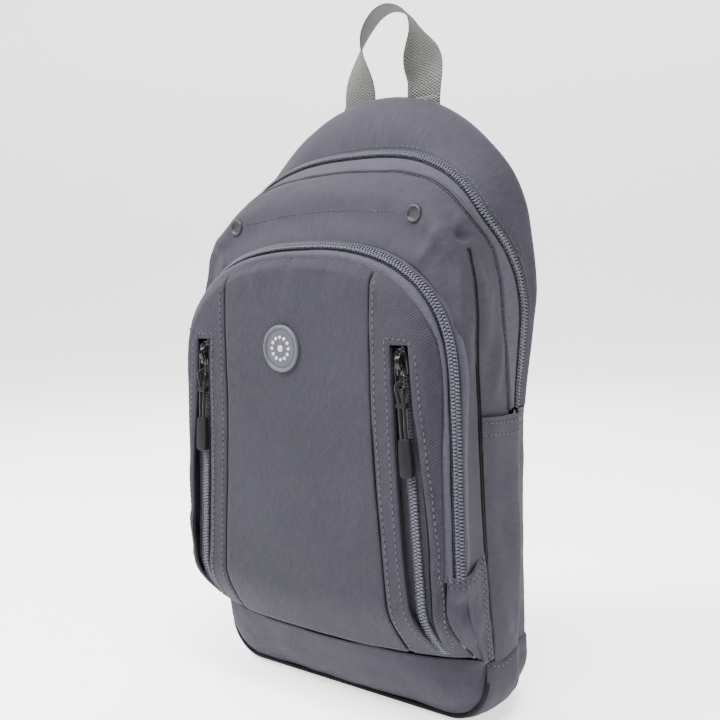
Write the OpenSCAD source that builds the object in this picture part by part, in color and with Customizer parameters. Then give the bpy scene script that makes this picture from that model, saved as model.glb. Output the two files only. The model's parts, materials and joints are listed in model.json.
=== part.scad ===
// Sling bag: a one-strap day bag with a domed body, a zipped main compartment, a zipped
// front pocket that opens forward like a door, and two upright zipped pockets on that door.
// Units are millimetres. +Z is up, -Y is the front, and the origin is the centre of the base.

/* [Body] */
// Width across the main compartment's zip
body_w = 207; // [190:1:220]
// Height of the dome at the back
body_h = 360; // [345:1:370]
// Height of the arch that the main zip follows
zip_arch_h = 323; // [316:1:328]
// Plane of the back panel
back_y = 30; // [28:1:34]
// Plane of the main front panel
front_y = -33; // [-36:1:-31]
// Thickness of a lined fabric panel
wall = 2; // [1.6:0.1:2.4]

/* [Front pocket] */
// Plane of the pocket door's outer face
door_y = -66; // [-68:1:-64]
// Width of the pocket at its zip
pocket_w = 202; // [196:1:203]
// Top of the pocket's zip
pocket_top = 270; // [262:1:274]
// Height of the seam that the door turns on
door_hinge_z = 42; // [40:1:44]
// Height where the zip ends and the fabric gusset begins
gusset_top = 88; // [80:1:96]

/* [Zips] */
// Width of one half of a coil
coil_w = 2.6; // [2.2:0.1:3]
// Height of the coil over its tape
coil_h = 2.2; // [1.8:0.1:2.6]
// Gap between the halves, where the slider's neck runs
coil_gap = 1; // [0.8:0.1:1.2]
// Length of a slider
slider_len = 13; // [11:1:15]
// Length of a cord pull, from the tab to the tip
pull_len = 48; // [40:1:56]
// Length of the pocket zip's shorter pull
short_pull_len = 30; // [28:1:36]

/* [Carrying] */
// Width of the webbing
web_w = 25; // [20:1:25]
// Height of the grab handle over the dome
handle_rise = 58; // [50:1:64]
// Lean of the shoulder strap from upright, in degrees
strap_lean = 12.9; // [10:0.1:14]

/* [Hidden] */
$fn = 32;

half_w = body_w / 2;
zip_end_z = 177;       // both ends of the main zip, at the slip pockets' hems
spring_z = 222;        // where the zip's arch begins
arch_n = 2.7;          // squareness of the front arches
gap = 0.6;             // clearance between neighbouring panels
arch_steps = 30;
side_steps = 4;

cloth = "#62626c";
cloth_dark = "#55555e";
tape_grey = "#77777f";
coil_grey = "#85858d";
black = "#1c1c20";
webbing_grey = "#7a7b76";
mesh_black = "#3c3c42";

// ---------- surfaces ----------

function smooth(t) = let (c = min(1, max(0, t))) c * c * (3 - 2 * c);
function unit(v) = v / norm(v);

// A point of a squared arch: a is 0 at the right spring and 180 at the left.
function arch(a, w, zs, h, n) = [w * sign(cos(a)) * pow(abs(cos(a)), 2 / n), zs + h * pow(sin(a), 2 / n)];

// A ring is [half width, spring height, rise, squareness, y at the sides, y at the crown].
function ring_y(ring, z, from, to) = ring[4] + (ring[5] - ring[4]) * smooth((z - from) / (to - from));

// The points of a ring, from its right end at foot, over the crown, to its left end.
function ring_points(ring, foot, from = 228, to = 292) = let (
    side = [for (k = [0 : side_steps - 1]) [ring[0], foot + (ring[1] - foot) * k / side_steps]],
    top = [for (k = [0 : arch_steps]) arch(180 * k / arch_steps, ring[0], ring[1], ring[2], ring[3])],
    flat = concat(side, top, [for (k = [side_steps - 1 : -1 : 0]) [-side[k][0], side[k][1]]])
) [for (p = flat) [p[0], ring_y(ring, p[1], from, to), p[1]]];

function blend(a, b, t) = [for (i = [0 : len(a) - 1]) a[i] * (1 - t) + b[i] * t];

// The unit normal of a grid of points, on the side of (next row) x (next column).
function grid_normal(g, r, c) = let (
    rows = len(g) - 1,
    cols = len(g[0]) - 1,
    down = g[min(r + 1, rows)][c] - g[max(r - 1, 0)][c],
    along = g[r][min(c + 1, cols)] - g[r][max(c - 1, 0)]
) unit(cross(down, along));

// A closed solid on a grid: from low to high over the grid's surface. keep says which cells are there.
module skin(g, high, low = 0, keep = function (r, c) true) {
    rows = len(g) - 1;
    cols = len(g[0]) - 1;
    n = (rows + 1) * (cols + 1);
    normals = [for (r = [0 : rows]) [for (c = [0 : cols]) grid_normal(g, r, c)]];
    points = concat(
        [for (r = [0 : rows]) for (c = [0 : cols]) g[r][c] + normals[r][c] * high],
        [for (r = [0 : rows]) for (c = [0 : cols]) g[r][c] + normals[r][c] * low]);
    at = function (r, c) r * (cols + 1) + c;
    there = function (r, c) r >= 0 && c >= 0 && r < rows && c < cols && keep(r, c);
    quad = function (a, b, c, d) [[a, b, c], [a, c, d]];
    rim = function (a, b) quad(b, a, a + n, b + n);
    faces = [for (r = [0 : rows - 1]) for (c = [0 : cols - 1]) if (there(r, c)) let (
        p = at(r, c), q = at(r, c + 1), s = at(r + 1, c + 1), t = at(r + 1, c)
    ) for (f = concat(
        quad(p, q, s, t),
        quad(t + n, s + n, q + n, p + n),
        there(r - 1, c) ? [] : rim(p, q),
        there(r, c + 1) ? [] : rim(q, s),
        there(r + 1, c) ? [] : rim(s, t),
        there(r, c - 1) ? [] : rim(t, p))) f];
    polyhedron(points, faces);
}

// A flat plate in the XZ plane, from y0 to y1.
module plate(y0, y1) {
    translate([0, y1, 0]) rotate([90, 0, 0]) linear_extrude(y1 - y0) children();
}

// The closed outline of a plate: an arch over straight sides, with rounded lower corners.
function outline(w, zs, h, n, z0, r) = concat(
    [for (a = [-90 : 15 : -15]) [w - r + r * cos(a), z0 + r + r * sin(a)]],
    [for (k = [0 : arch_steps]) arch(180 * k / arch_steps, w, zs, h, n)],
    [for (a = [195 : 15 : 270]) [-(w - r) + r * cos(a), z0 + r + r * sin(a)]]);

// ---------- rings of the main body, from the back to the front corner ----------

ring_back = [86, spring_z, body_h - 10 - spring_z, 2.3, back_y - 0.5, back_y - 0.5];
ring_crest = [half_w, spring_z, body_h - 1 - spring_z, 2.5, 24.5, 22];
ring_rear = [half_w, spring_z, body_h - 9 - spring_z, 2.5, 20.5, 6];
ring_zip = [half_w, spring_z, zip_arch_h - spring_z, arch_n, 10, -8];
ring_fold = [half_w + 0.5, spring_z, zip_arch_h - 9 - spring_z, arch_n, -4, -22];
ring_corner = [half_w - 1, spring_z, zip_arch_h - 24 - spring_z, arch_n, front_y, front_y];

body_foot = zip_end_z + gap;
back_line = ring_points(ring_back, body_foot);
crest_line = ring_points(ring_crest, body_foot);
rear_line = ring_points(ring_rear, body_foot);
zip_line = ring_points(ring_zip, body_foot);
fold_line = ring_points(ring_fold, body_foot);
corner_line = ring_points(ring_corner, body_foot);

// A line beside another one, that many millimetres towards a third.
function beside(line, towards, mm) = [for (i = [0 : len(line) - 1])
    line[i] + unit(towards[i] - line[i]) * mm];

tape_w = 8;

module rear_gusset() {
    color(cloth) skin([beside(zip_line, rear_line, tape_w + gap), rear_line, crest_line,
        blend(back_line, crest_line, 0.12)], 0, -wall);
}

module front_gusset() {
    color(cloth) skin([blend(corner_line, fold_line, 0.12), beside(fold_line, corner_line, 3.6)], 0, -wall);
}

module main_edge_fold() {
    color(cloth) skin([beside(fold_line, corner_line, 3), beside(fold_line, zip_line, 1)], 1.2, -1);
}

module main_zip_tape_rear() {
    color(tape_grey) skin([beside(zip_line, rear_line, coil_gap / 2), beside(zip_line, rear_line, tape_w)],
        -0.8, -1.6);
}

module main_zip_tape_front() {
    color(tape_grey)
        skin([beside(zip_line, fold_line, tape_w + 3), beside(zip_line, fold_line, coil_gap / 2)],
        -0.8, -1.6);
}

module main_zip_coil() {
    color(coil_grey) {
        skin([beside(zip_line, rear_line, coil_gap / 2), beside(zip_line, rear_line, coil_gap / 2 + coil_w)],
            coil_h - 0.7, -0.7);
        skin([beside(zip_line, fold_line, coil_gap / 2 + coil_w), beside(zip_line, fold_line, coil_gap / 2)],
            coil_h - 0.7, -0.7);
    }
}

module back_panel() {
    color(mesh_black) plate(back_y - 2.5, back_y)
        polygon(outline(86, spring_z, body_h - 10.5 - spring_z, 2.3, 6, 24));
}

module back_foam() {
    color("#d8d8d0") plate(back_y - 7, back_y - 3)
        polygon(outline(80, spring_z, body_h - 24 - spring_z, 2.3, 12, 20));
}

// Raised foam pads under the mesh: two long ones beside the spine and one over them.
module back_pads() {
    color(mesh_black) {
        for (side = [-1, 1]) plate(back_y + 0.3, back_y + 5)
            translate([side * 43, 128]) rounded_rectangle(62, 180, 14);
        plate(back_y + 0.3, back_y + 5) translate([0, 262]) rounded_rectangle(120, 58, 20);
    }
}

module rounded_rectangle(w, h, r) {
    square([w - 2 * r, h], center = true);
    square([w, h - 2 * r], center = true);
    for (x = [-1, 1]) for (y = [-1, 1]) translate([x * (w / 2 - r), y * (h / 2 - r)]) circle(r);
}

module main_front_panel() {
    color(cloth) plate(front_y, front_y + wall) polygon(outline(half_w - 2.5, spring_z,
        zip_arch_h - 25.5 - spring_z, arch_n, door_hinge_z - 3, 12));
}

// ---------- lower sides, slip pockets and base ----------

boot_top = 41;
wall_in = 95;                       // side wall behind the slip pocket
function wall_x(z) = wall_in + (half_w - 1.5 - wall_in) * smooth((z - 140) / 34);
// The side wall in plan, as [inset from the wall, y], from the front corner to the back.
side_plan = [[0, front_y + wall + 0.6], [0, 4], [3, 14], [8, 21], [14, back_y - 3.5]];
slip_plan = [[1, front_y + wall + 0.6], [0, front_y + 6], [0, 5], [2.5, 13], [7, 20], [12, 25]];
function slip_x(z) = half_w + 0.5 + 2 * smooth((z - 118) / 56);

module side_panel(side) {
    levels = [for (k = [0 : 10]) 30 + (zip_end_z - 30) * k / 10];
    points = [for (p = side_plan) [for (z = levels) [side * (wall_x(z) - p[0]), p[1], z]]];
    color(cloth) skin(side > 0 ? points : [for (row = points) [for (k = [10 : -1 : 0]) row[k]]], -wall, 0);
}

module slip_pocket(side) {
    levels = [for (k = [0 : 8]) boot_top + gap + (zip_end_z - 2 - boot_top - gap) * k / 8];
    points = [for (p = slip_plan) [for (z = levels) [side * (slip_x(z) - p[0]), p[1], z]]];
    color(cloth) skin(side > 0 ? points : [for (row = points) [for (k = [8 : -1 : 0]) row[k]]], -wall, 0);
}

boot_r = 28;                    // radius of the base's lower side corners
module boot_section(inset) {
    r = boot_r - inset;
    w = half_w - inset;
    difference() {
        union() {
            translate([-w, r + inset]) square([2 * w, boot_top - r - inset]);
            translate([-(w - r), inset]) square([2 * (w - r), 40 - inset]);
            for (x = [-1, 1]) translate([x * (w - r), r + inset]) circle(r);
        }
        translate([-200, boot_top]) square([400, 60]);
    }
}

module base_boot() {
    color(cloth_dark) plate(band_front_y + wall + 0.5, back_y - 3) difference() {
        boot_section(0);
        translate([0, 0.01]) boot_section(wall + 0.5);
    }
}

// The lower front band leans from the base's edge out to the door's seam.
band_front_y = front_y + 8;
function band_top_y(x) = door_y + 14 + 19 * pow(abs(x) / 100, 2.4);
module base_band() {
    levels = [0, 0.35, 0.7, 1];
    xs = [for (k = [-8 : 8]) 101 * sin(k * 90 / 8)];
    low_z = function (x) boot_r + 0.5 - sqrt(pow(boot_r, 2) - pow(max(0, abs(x) - half_w + boot_r), 2));
    points = [for (t = levels) [for (x = xs)
        let (z0 = low_z(x), z1 = door_hinge_z - 2.2, bulge = 3 * sin(180 * t))
        [x, band_front_y + (band_top_y(x) - band_front_y) * t - bulge, z0 + (z1 - z0) * t]]];
    color(cloth_dark) skin(points, 0, wall);
}

module base_board() {
    color("#3a3a3a") translate([-72, front_y + 9, 3.2]) cube([144, back_y - 13 - front_y, 2]);
}

// Welted cord around the base's front edge, laid in the seam between boot and band.
module base_piping() {
    half = [for (a = [0 : 15 : 90]) [half_w - boot_r + (boot_r + 0.8) * cos(a), boot_r - boot_r * sin(a)]];
    track = concat(half, [for (k = [len(half) - 1 : -1 : 0]) [-half[k][0], half[k][1]]]);
    top = [for (p = track) [p[0], band_front_y - 1.9, p[1]]];
    low = [for (p = track) [p[0], band_front_y - 0.2, p[1]]];
    color(cloth_dark) skin([low, top], 0, 1.4);
}

module pocket_floor() {
    xs = [for (k = [-8 : 8]) 88 * sin(k * 90 / 8)];
    back_row = [for (x = xs) [x, front_y - 0.4, door_hinge_z - 3]];
    front_row = [for (x = xs) [x, min(front_y - 1.4, band_top_y(x) + wall + 1.8), door_hinge_z - 3]];
    color("#8a8a90") skin([front_row, back_row], 0, -1);
}

// An open-topped sleeve against the back, for a tablet or a notebook.
module divider_sleeve() {
    color("#8a8a90") {
        plate(14, 15) translate([-75, 14]) square([150, 170]);
        plate(15.01, 22.6) translate([-75, 14]) square([1, 170]);
        plate(15.01, 22.6) translate([74, 14]) square([1, 170]);
        plate(15.01, 22.6) translate([-73.9, 14]) square([147.8, 1]);
    }
}

// ---------- front pocket ----------

pocket_half = pocket_w / 2;
pocket_spring = 190;
ring_pocket_bag = [pocket_half + 0.5, pocket_spring, pocket_top + 3 - pocket_spring, 2.5,
    front_y - 0.8, front_y - 0.8];
ring_pocket_zip = [pocket_half, pocket_spring, pocket_top - pocket_spring, 2.5, -47, -47];
ring_pocket_door = [pocket_half - 1.5, pocket_spring, pocket_top - 6 - pocket_spring, 2.5,
    door_y + 5, door_y + 5];
pocket_bag_line = ring_points(ring_pocket_bag, gusset_top + gap);
pocket_zip_line = ring_points(ring_pocket_zip, gusset_top + gap);
pocket_door_line = ring_points(ring_pocket_door, gusset_top + gap);

module pocket_zip_tape_bag() {
    color(tape_grey) skin([beside(pocket_zip_line, pocket_bag_line, coil_gap / 2), pocket_bag_line], 0, -1);
}

module pocket_zip_coil_bag() {
    color(coil_grey) skin([beside(pocket_zip_line, pocket_bag_line, coil_gap / 2),
        beside(pocket_zip_line, pocket_bag_line, coil_gap / 2 + coil_w)], coil_h + 0.1, 0.1);
}

module pocket_zip_tape_door() {
    color(tape_grey) skin([beside(pocket_door_line, pocket_zip_line, 1.4),
        beside(pocket_zip_line, pocket_door_line, coil_gap / 2)], 0, -1);
}

module pocket_zip_coil_door() {
    color(coil_grey) skin([beside(pocket_zip_line, pocket_door_line, coil_gap / 2 + coil_w),
        beside(pocket_zip_line, pocket_door_line, coil_gap / 2)], coil_h + 0.1, 0.1);
}

// Fabric gusset between the door and the bag, below the end of the pocket's zip.
module gusset_corner(side) {
    levels = [for (k = [0 : 4]) door_hinge_z + 2 + (gusset_top - door_hinge_z - 2) * k / 4];
    front = function (z) front_y - 3 - 25 * smooth((z - door_hinge_z + 14) / 44);
    x = pocket_half + 0.2;
    back_row = [for (z = levels) [side * x, front_y - 0.8, z]];
    front_row = [for (z = levels) [side * x, front(z), z]];
    color(cloth) skin(side > 0 ? [front_row, back_row] : [back_row, front_row], wall - 0.8, 0);
}

// The door's outer face, as y over x and z: flat where the zips run, and drawn back at its foot.
function door_face(x, z) = door_y + 5 * pow(max(0, (abs(x) - 89) / 10.5), 2)
    + smooth((76 - z) / 60) * (20 + 26 * pow(abs(x) / 100, 2.4));
door_low = door_hinge_z + 1.5;
door_half = pocket_half - 2;
function door_top(x) = pocket_spring + (pocket_top - 7.5 - pocket_spring)
    * pow(max(0, 1 - pow(abs(x) / (pocket_half - 1), 2.5)), 1 / 2.5);
function seam_x(z) = 55 + 9 * smooth((190 - z) / 160);
zip_top_z = 216;
zip_low_z = 52;
slot_half = 6;
function zip_x(z) = 75 + 11 * (zip_top_z - z) / (zip_top_z - zip_low_z);

module door_centre_panel() {
    ts = [for (k = [-6 : 6]) k / 6];
    points = [for (j = [0 : 12]) [for (t = ts) let (
        top = door_top(seam_x(230) * t),
        z = door_low + (top - door_low) * j / 12,
        x = (seam_x(z) - 0.3) * t) [x, door_face(x, z), z]]];
    color(cloth) skin([for (k = [12 : -1 : 0]) points[k]], 0, -wall);
}

// Levels of a side panel: rows 2 to 11 hold the zip's slot.
side_levels = concat([door_low], [for (k = [0 : 10]) zip_low_z + (zip_top_z - zip_low_z) * k / 10]);
module door_side_panel(side) {
    points = [for (k = [0 : 15]) [for (c = [0 : 6]) let (
        slotted = k <= 11,
        z_here = slotted ? side_levels[k] : zip_top_z,
        inner = seam_x(z_here) + 0.3,
        outer = door_half,
        mid = zip_x(z_here),
        x = [inner, (inner + mid - slot_half) / 2, mid - slot_half, mid + slot_half,
            (mid + slot_half + outer) / 2, outer - 3, outer][c],
        z = slotted ? z_here : zip_top_z + (door_top(x) - zip_top_z) * (k - 11) / 4)
        [side * x, door_face(x, z), z]]];
    rows = [for (k = [15 : -1 : 0]) points[k]];
    mirrored = [for (row = rows) [for (c = [6 : -1 : 0]) row[c]]];
    in_slot = function (r) r >= 4 && r <= 13;
    color(cloth) skin(side > 0 ? rows : mirrored, 0, -wall,
        side > 0 ? function (r, c) !(in_slot(r) && c == 2) : function (r, c) !(in_slot(r) && c == 3));
}

module door_lining() {
    color("#8a8a90") plate(door_y + 9, door_y + 9.8)
        polygon(outline(door_half - 6, pocket_spring, pocket_top - 20 - pocket_spring, 2.5, 80, 10));
}

// A side zip's slider runs in this leaning frame, along the zip's straight stretch.
zip_run = 136;
module along_zip(side, y, up) {
    lean = atan((zip_x(zip_low_z) - zip_x(zip_top_z)) / (zip_top_z - zip_low_z));
    translate([side * zip_x(zip_top_z), y, zip_top_z]) rotate([0, -side * lean, 0])
        translate([0, 0, up - zip_run]) children();
}

// A strip behind the slot that follows the door's face. It lies between two distances from the
// zip's line, and from low to high over the tape's front face, counted towards the bag's back.
tape_depth = wall + 1.7;
module zip_strip(side, near, far, low, high, trim = 0) {
    foot = zip_low_z + trim;
    levels = concat([for (k = [0 : 8]) foot + (80 - foot) * k / 8], [zip_top_z - trim]);
    points = [for (z = levels) [for (d = [near, far])
        [side * zip_x(z) + d, door_face(side * zip_x(z) + d, z) + tape_depth + abs(d) / 12, z]]];
    color(tape_grey) skin(points, low, high);
}
tape_half = 7.2;
module side_zip_tapes() {
    for (side = [-1, 1]) {
        zip_strip(side, coil_gap / 2, coil_gap / 2 + tape_half, 0, 0.8, 1);
        zip_strip(side, -coil_gap / 2 - tape_half, -coil_gap / 2, 0, 0.8, 1);
    }
}
module side_zip_coils() {
    for (side = [-1, 1]) {
        zip_strip(side, coil_gap / 2, coil_gap / 2 + coil_w, -0.1 - coil_h, -0.1, 3);
        zip_strip(side, -coil_gap / 2 - coil_w, -coil_gap / 2, -0.1 - coil_h, -0.1, 3);
    }
}
module zip_pocket_bags() {
    for (side = [-1, 1]) zip_strip(side, -9, 9, 2.9, 3.4);
}

badge_x = -8;
badge_z = 212;
badge_r = 13.5;
module badge_base() {
    color("#85858f") translate([badge_x, door_y - 0.2, badge_z]) rotate([90, 0, 0])
        cylinder(h = 1.6, r = badge_r, $fn = 64);
}
module badge_ring() {
    color("#a0a0aa") translate([badge_x, door_y - 1.9, badge_z]) rotate([90, 0, 0]) difference() {
        cylinder(h = 1, r = badge_r - 0.6, $fn = 64);
        translate([0, 0, -1]) cylinder(h = 3, r = badge_r - 2.4, $fn = 64);
    }
}

module rivet(side) {
    color("#55555d") translate([side * 67, front_y - 0.3, 284]) rotate([90, 0, 0]) {
        cylinder(h = 1.4, r = 5);
        translate([0, 0, 1.4]) difference() {
            cylinder(h = 0.8, r = 4.4);
            translate([0, 0, 0.2]) cylinder(h = 1, r = 3.4);
        }
    }
}

// ---------- sliders and pulls ----------

// A slider lies in the XZ plane with its face towards -Y and its nose up. Its coil's top is at y = 0.
plate_w = 9.4;
neck_w = 0.5;
module slider_body(flanges = [-1, 1]) {
    color(black) {
        rotate([90, 0, 0]) translate([0, 0, 0.3]) linear_extrude(1.3) slider_outline();
        rotate([90, 0, 0]) translate([0, 0, -coil_h - 2.8]) linear_extrude(1.2) slider_outline();
        translate([-neck_w / 2, -0.5, slider_len * 0.42]) cube([neck_w, coil_h + 2.6, 3]);
        for (x = flanges) translate([x * (plate_w / 2 - 0.5) - 0.4, -0.4, 1])
            cube([0.8, 1.6, slider_len - 4]);
        translate([-1.5, -1.5, 2]) rotate([0, 90, 0]) bail();
    }
}
module slider_outline() {
    translate([-plate_w / 2 + 0.8, 0]) square([plate_w - 1.6, slider_len - 2]);
    translate([-plate_w / 2, 2]) square([plate_w, slider_len - 4.5]);
    for (x = [-1, 1]) translate([x * (plate_w / 2 - 2.2), slider_len - 2.2]) circle(2.2);
}
// The bridge that the tab hangs from, drawn flat and 3 mm wide.
bail_r = 3.4;
module bail() {
    linear_extrude(3) difference() {
        translate([-bail_r - 1.4, 0]) circle(bail_r);
        translate([-bail_r - 1.4, 0]) circle(bail_r - 1.1);
        translate([-20, 0]) square([40, 20]);
    }
}
// The tab's ring turns in the bridge. Its pivot is at [0, pivot_out, pivot_up] from the slider's foot.
pivot_out = -1.5 - bail_r + 1.1 + 0.75;
pivot_up = 2 + bail_r + 1.4;

tab_len = 12.6;                 // from the bridge to the lower bar that the cord loops round
tab_bar_r = 0.65;

module tab() {
    color(black) {
        rotate([0, 90, 0]) translate([0, 0, -2.6]) cylinder(h = 5.2, r = 0.6);
        for (x = [-1, 1]) translate([x * 2.6 - 0.6, -0.6, -tab_len]) cube([1.2, 1.2, tab_len]);
        translate([0, 0, -tab_len]) rotate([0, 90, 0]) translate([0, 0, -3.2]) cylinder(h = 6.4, r = tab_bar_r);
    }
}

// A cord doubled round the tab's lower bar, with a moulded tip.
cord_r = 1.3;
tip_w = 8;
tip_len = 21;
tip_thick = 3.4;
module pull(length = pull_len) {
    cord_top = -tab_len - 1.4;
    cord_end = -tab_len - length + tip_len - 2;
    color(black) {
        for (x = [-1, 1]) translate([x * 1.4, 0, cord_end])
            cylinder(h = cord_top - cord_end, r = cord_r, $fn = 24);
        translate([0, 0, -tab_len]) rotate([0, 90, 0]) difference() {
            translate([0, 0, -1.8]) cylinder(h = 3.6, r = 2.1);
            translate([0, 0, -2]) cylinder(h = 4, r = tab_bar_r + 0.2);
        }
    }
    color("#2b2b30") translate([0, 0, -tab_len - length]) rotate([90, 0, 0])
        translate([0, 0, -tip_thick / 2]) linear_extrude(tip_thick) tip_outline();
}
module tip_outline() {
    translate([-tip_w / 2, 3]) square([tip_w, tip_len - 3]);
    translate([-tip_w / 2 + 3, 0]) square([tip_w - 6, 4]);
    for (x = [-1, 1]) translate([x * (tip_w / 2 - 3), 3]) circle(3);
}

front_slider_drop = 16;         // from the slot's top to the slider's foot
module at_front_slider(side) {
    along_zip(side, door_y + tape_depth - 0.1 - coil_h, zip_run - front_slider_drop) children();
}
module on_left(x, y, z) {
    translate([x, y, z]) rotate([0, 0, -90]) children();
}
module at_main_slider() {
    on_left(-half_w - coil_h + 0.3, ring_zip[4], zip_end_z + 5) children();
}
module at_pocket_slider() {
    on_left(-pocket_half - coil_h - 0.1, ring_pocket_zip[4], gusset_top + 16) children();
}
module at_tab() {
    translate([0, pivot_out, pivot_up]) children();
}

// ---------- handle ----------

// The webbing's centre line: up from each leg and over. Half of it is listed, right side first.
leg_x = 25;
handle_foot = body_h - 2;
handle_y = back_y - 1;
function handle_line(steps) = concat(
    [for (k = [0 : 3]) [leg_x - k * 0.4, handle_y, handle_foot + 3 + 8 * k]],
    [for (k = [1 : steps - 1]) [(leg_x - 1.2) * cos(180 * k / steps), handle_y,
        handle_foot + 27 + (handle_rise - 27) * sin(180 * k / steps)]],
    [for (k = [3 : -1 : 0]) [-leg_x + k * 0.4, handle_y, handle_foot + 3 + 8 * k]]);
// The webbing's half width as a vector: flat across at the legs, and folded and turned over the top.
function handle_side(i, n) = let (
    t = min(i, n - i) / 5,
    turned = smooth((t - 0.2) / 0.8),
    half = web_w / 2 * (1 - turned) + 6.5 * turned,
    a = 90 * turned * (i < n / 2 ? 1 : -1)) [half * cos(a), half * sin(a), 0] * (i < n / 2 ? 1 : -1);
module handle_loop() {
    line = handle_line(14);
    n = len(line) - 1;
    thick = function (i) 0.8 + 0.9 * smooth((min(i, n - i) / 5 - 0.2) / 0.8);
    tangent = function (i) unit(line[min(i + 1, n)] - line[max(i - 1, 0)]);
    across = function (i) unit(cross(tangent(i), handle_side(i, n)));
    corner = function (i, s, t) line[i] + handle_side(i, n) * s + across(i) * t * thick(i);
    points = [for (i = [0 : n]) for (q = [[1, 1], [-1, 1], [-1, -1], [1, -1]]) corner(i, q[0], q[1])];
    ring = function (i, k) 4 * i + (k % 4);
    sides = [for (i = [0 : n - 1]) for (k = [0 : 3]) for (f = [
        [ring(i, k), ring(i + 1, k), ring(i + 1, k + 1)],
        [ring(i, k), ring(i + 1, k + 1), ring(i, k + 1)]]) f];
    caps = [[0, 1, 2], [0, 2, 3],
        [ring(n, 0), ring(n, 2), ring(n, 1)], [ring(n, 0), ring(n, 3), ring(n, 2)]];
    color(webbing_grey) polyhedron(points, concat(sides, caps));
}
// The sewn ends of the handle, in the seam under the dome.
module handle_anchors() {
    color(webbing_grey) for (side = [-1, 1]) translate([side * leg_x - web_w / 2, handle_y - 9, body_h - 24])
        cube([web_w, 2, 12]);
}

// ---------- shoulder strap, on the back ----------

strap_top = [0, 342];
pad_y = back_y + 6.2;           // inner face of the pad
strap_y = pad_y + 9.2;          // inner face of the webbing that lies on it
// Places children at a distance down the strap, x across it, y as in the bag.
module down_strap(s) {
    translate([strap_top[0], 0, strap_top[1]]) rotate([0, strap_lean, 0]) translate([0, 0, -s]) children();
}

module strap_anchor_top() {
    color(cloth) down_strap(13) translate([-22, back_y + 0.3, 0]) cube([44, 2.2, 16]);
}

module strap_pad() {
    // Stations as [distance down the strap, half width, inner face's y].
    stations = [[0, 20, back_y + 2.8], [6, 21, back_y + 2.8], [16, 25, pad_y - 1.5], [26, 27, pad_y],
        [60, 29, pad_y],
        [110, 28, pad_y], [160, 24, pad_y], [192, 19, pad_y], [204, 16, pad_y]];
    rows = [for (s = stations) [for (t = [-1, -0.8, -0.35, 0.35, 0.8, 1]) [t * s[1], s[2] + 8, -s[0]]]];
    thick = 7.6;
    color(cloth_dark) down_strap(0) skin(rows, 0, thick);
}

module strap_keeper() {
    color(black) down_strap(150) difference() {
        translate([-17, strap_y - 0.6, 0]) cube([34, 3.4, 10]);
        translate([-14, strap_y - 0.25, -1]) cube([28, 2.2, 12]);
    }
}

lock_s = 236;
module ladder_lock() {
    color(black) down_strap(lock_s) {
        for (x = [-17, 14]) translate([x, strap_y - 5, 0]) cube([3, 7.8, 26]);
        for (z = [0, 10, 20]) translate([-14.01, strap_y - 4.6, z]) cube([28.02, 4.2, 4]);
        translate([-14.01, strap_y + 1.8, 4]) cube([28.02, 1, 3]);
        translate([-12, strap_y - 6.4, 20]) cube([24, 1.4, 10]);
    }
}

plug_s = 268;
module strap_webbing() {
    color(webbing_grey) down_strap(plug_s - 6) translate([-web_w / 2, strap_y, 0]) cube([web_w, 1.4, 148]);
}

// Side-release buckle. The plug's arms run down into the socket.
module buckle_plug() {
    color(black) down_strap(plug_s) {
        difference() {
            translate([-17, strap_y - 3, -8]) cube([34, 7.4, 20]);
            translate([-13.2, strap_y - 0.4, -2.5]) cube([26.4, 2.2, 20]);
        }
        for (side = [-1, 1]) {
            translate([side * 11 - 2, strap_y - 1.4, -26]) cube([4, 4.2, 18.2]);
            translate([side * 11.8 - 2.4, strap_y - 1.4, -24]) cube([4.8, 4.2, 7]);
        }
        translate([-1.6, strap_y - 0.9, -24]) cube([3.2, 3.2, 16.2]);
    }
}

module buckle_socket() {
    color(black) down_strap(plug_s + 36) {
        difference() {
            translate([-17.5, strap_y - 3.4, -8]) cube([35, 8.2, 35.4]);
            translate([-14.8, strap_y - 1.8, 2]) cube([29.6, 5, 40]);
            for (side = [-1, 1]) translate([side * 17.5 - 4, strap_y - 1.8, 9]) cube([8, 5, 11]);
            translate([-13, strap_y - 5, -5.5]) cube([26, 12, 3.2]);
        }
    }
}

module anchor_webbing() {
    foot = strap_y - 15;
    // Half width and y of the webbing, down from the socket's bar to the patch on the bag.
    line = [[-5.6, strap_y + 0.4], [-8, strap_y - 0.5], [-13, strap_y - 6], [-19, foot + 1.4], [-34, foot + 1.4]];
    rows = [for (p = line) [for (x = [-12, 12]) [x, p[1], p[0]]]];
    color(webbing_grey) down_strap(plug_s + 39) skin(rows, 0, 1.4);
}

// ---------- nodes ----------

back_panel();
back_foam();
back_pads();
rear_gusset();
front_gusset();
main_front_panel();
side_panel(1);  // side_panel_right
side_panel(-1);  // side_panel_left
slip_pocket(1);  // slip_pocket_right
slip_pocket(-1);  // slip_pocket_left
base_boot();
base_band();
base_board();
base_piping();
pocket_floor();
divider_sleeve();
main_zip_tape_rear();
main_zip_tape_front();
main_zip_coil();
main_edge_fold();
pocket_zip_tape_bag();
pocket_zip_coil_bag();
pocket_zip_tape_door();
pocket_zip_coil_door();
gusset_corner(1);  // gusset_corner_right
gusset_corner(-1);  // gusset_corner_left
rivet(1);  // rivet_right
rivet(-1);  // rivet_left
door_centre_panel();
door_side_panel(1);  // door_side_panel_right
door_side_panel(-1);  // door_side_panel_left
door_lining();
zip_pocket_bags();
side_zip_tapes();
side_zip_coils();
badge_base();
badge_ring();
handle_anchors();
handle_loop();
strap_anchor_top();
strap_pad();
strap_keeper();
ladder_lock();
strap_webbing();
buckle_plug();
buckle_socket();
anchor_webbing();
at_front_slider(1) slider_body();  // slider_front_right
at_front_slider(-1) slider_body();  // slider_front_left
at_main_slider() slider_body();  // slider_main
at_pocket_slider() slider_body([-1]);  // slider_pocket
at_front_slider(1) at_tab() tab();  // tab_front_right
at_front_slider(-1) at_tab() tab();  // tab_front_left
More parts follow.
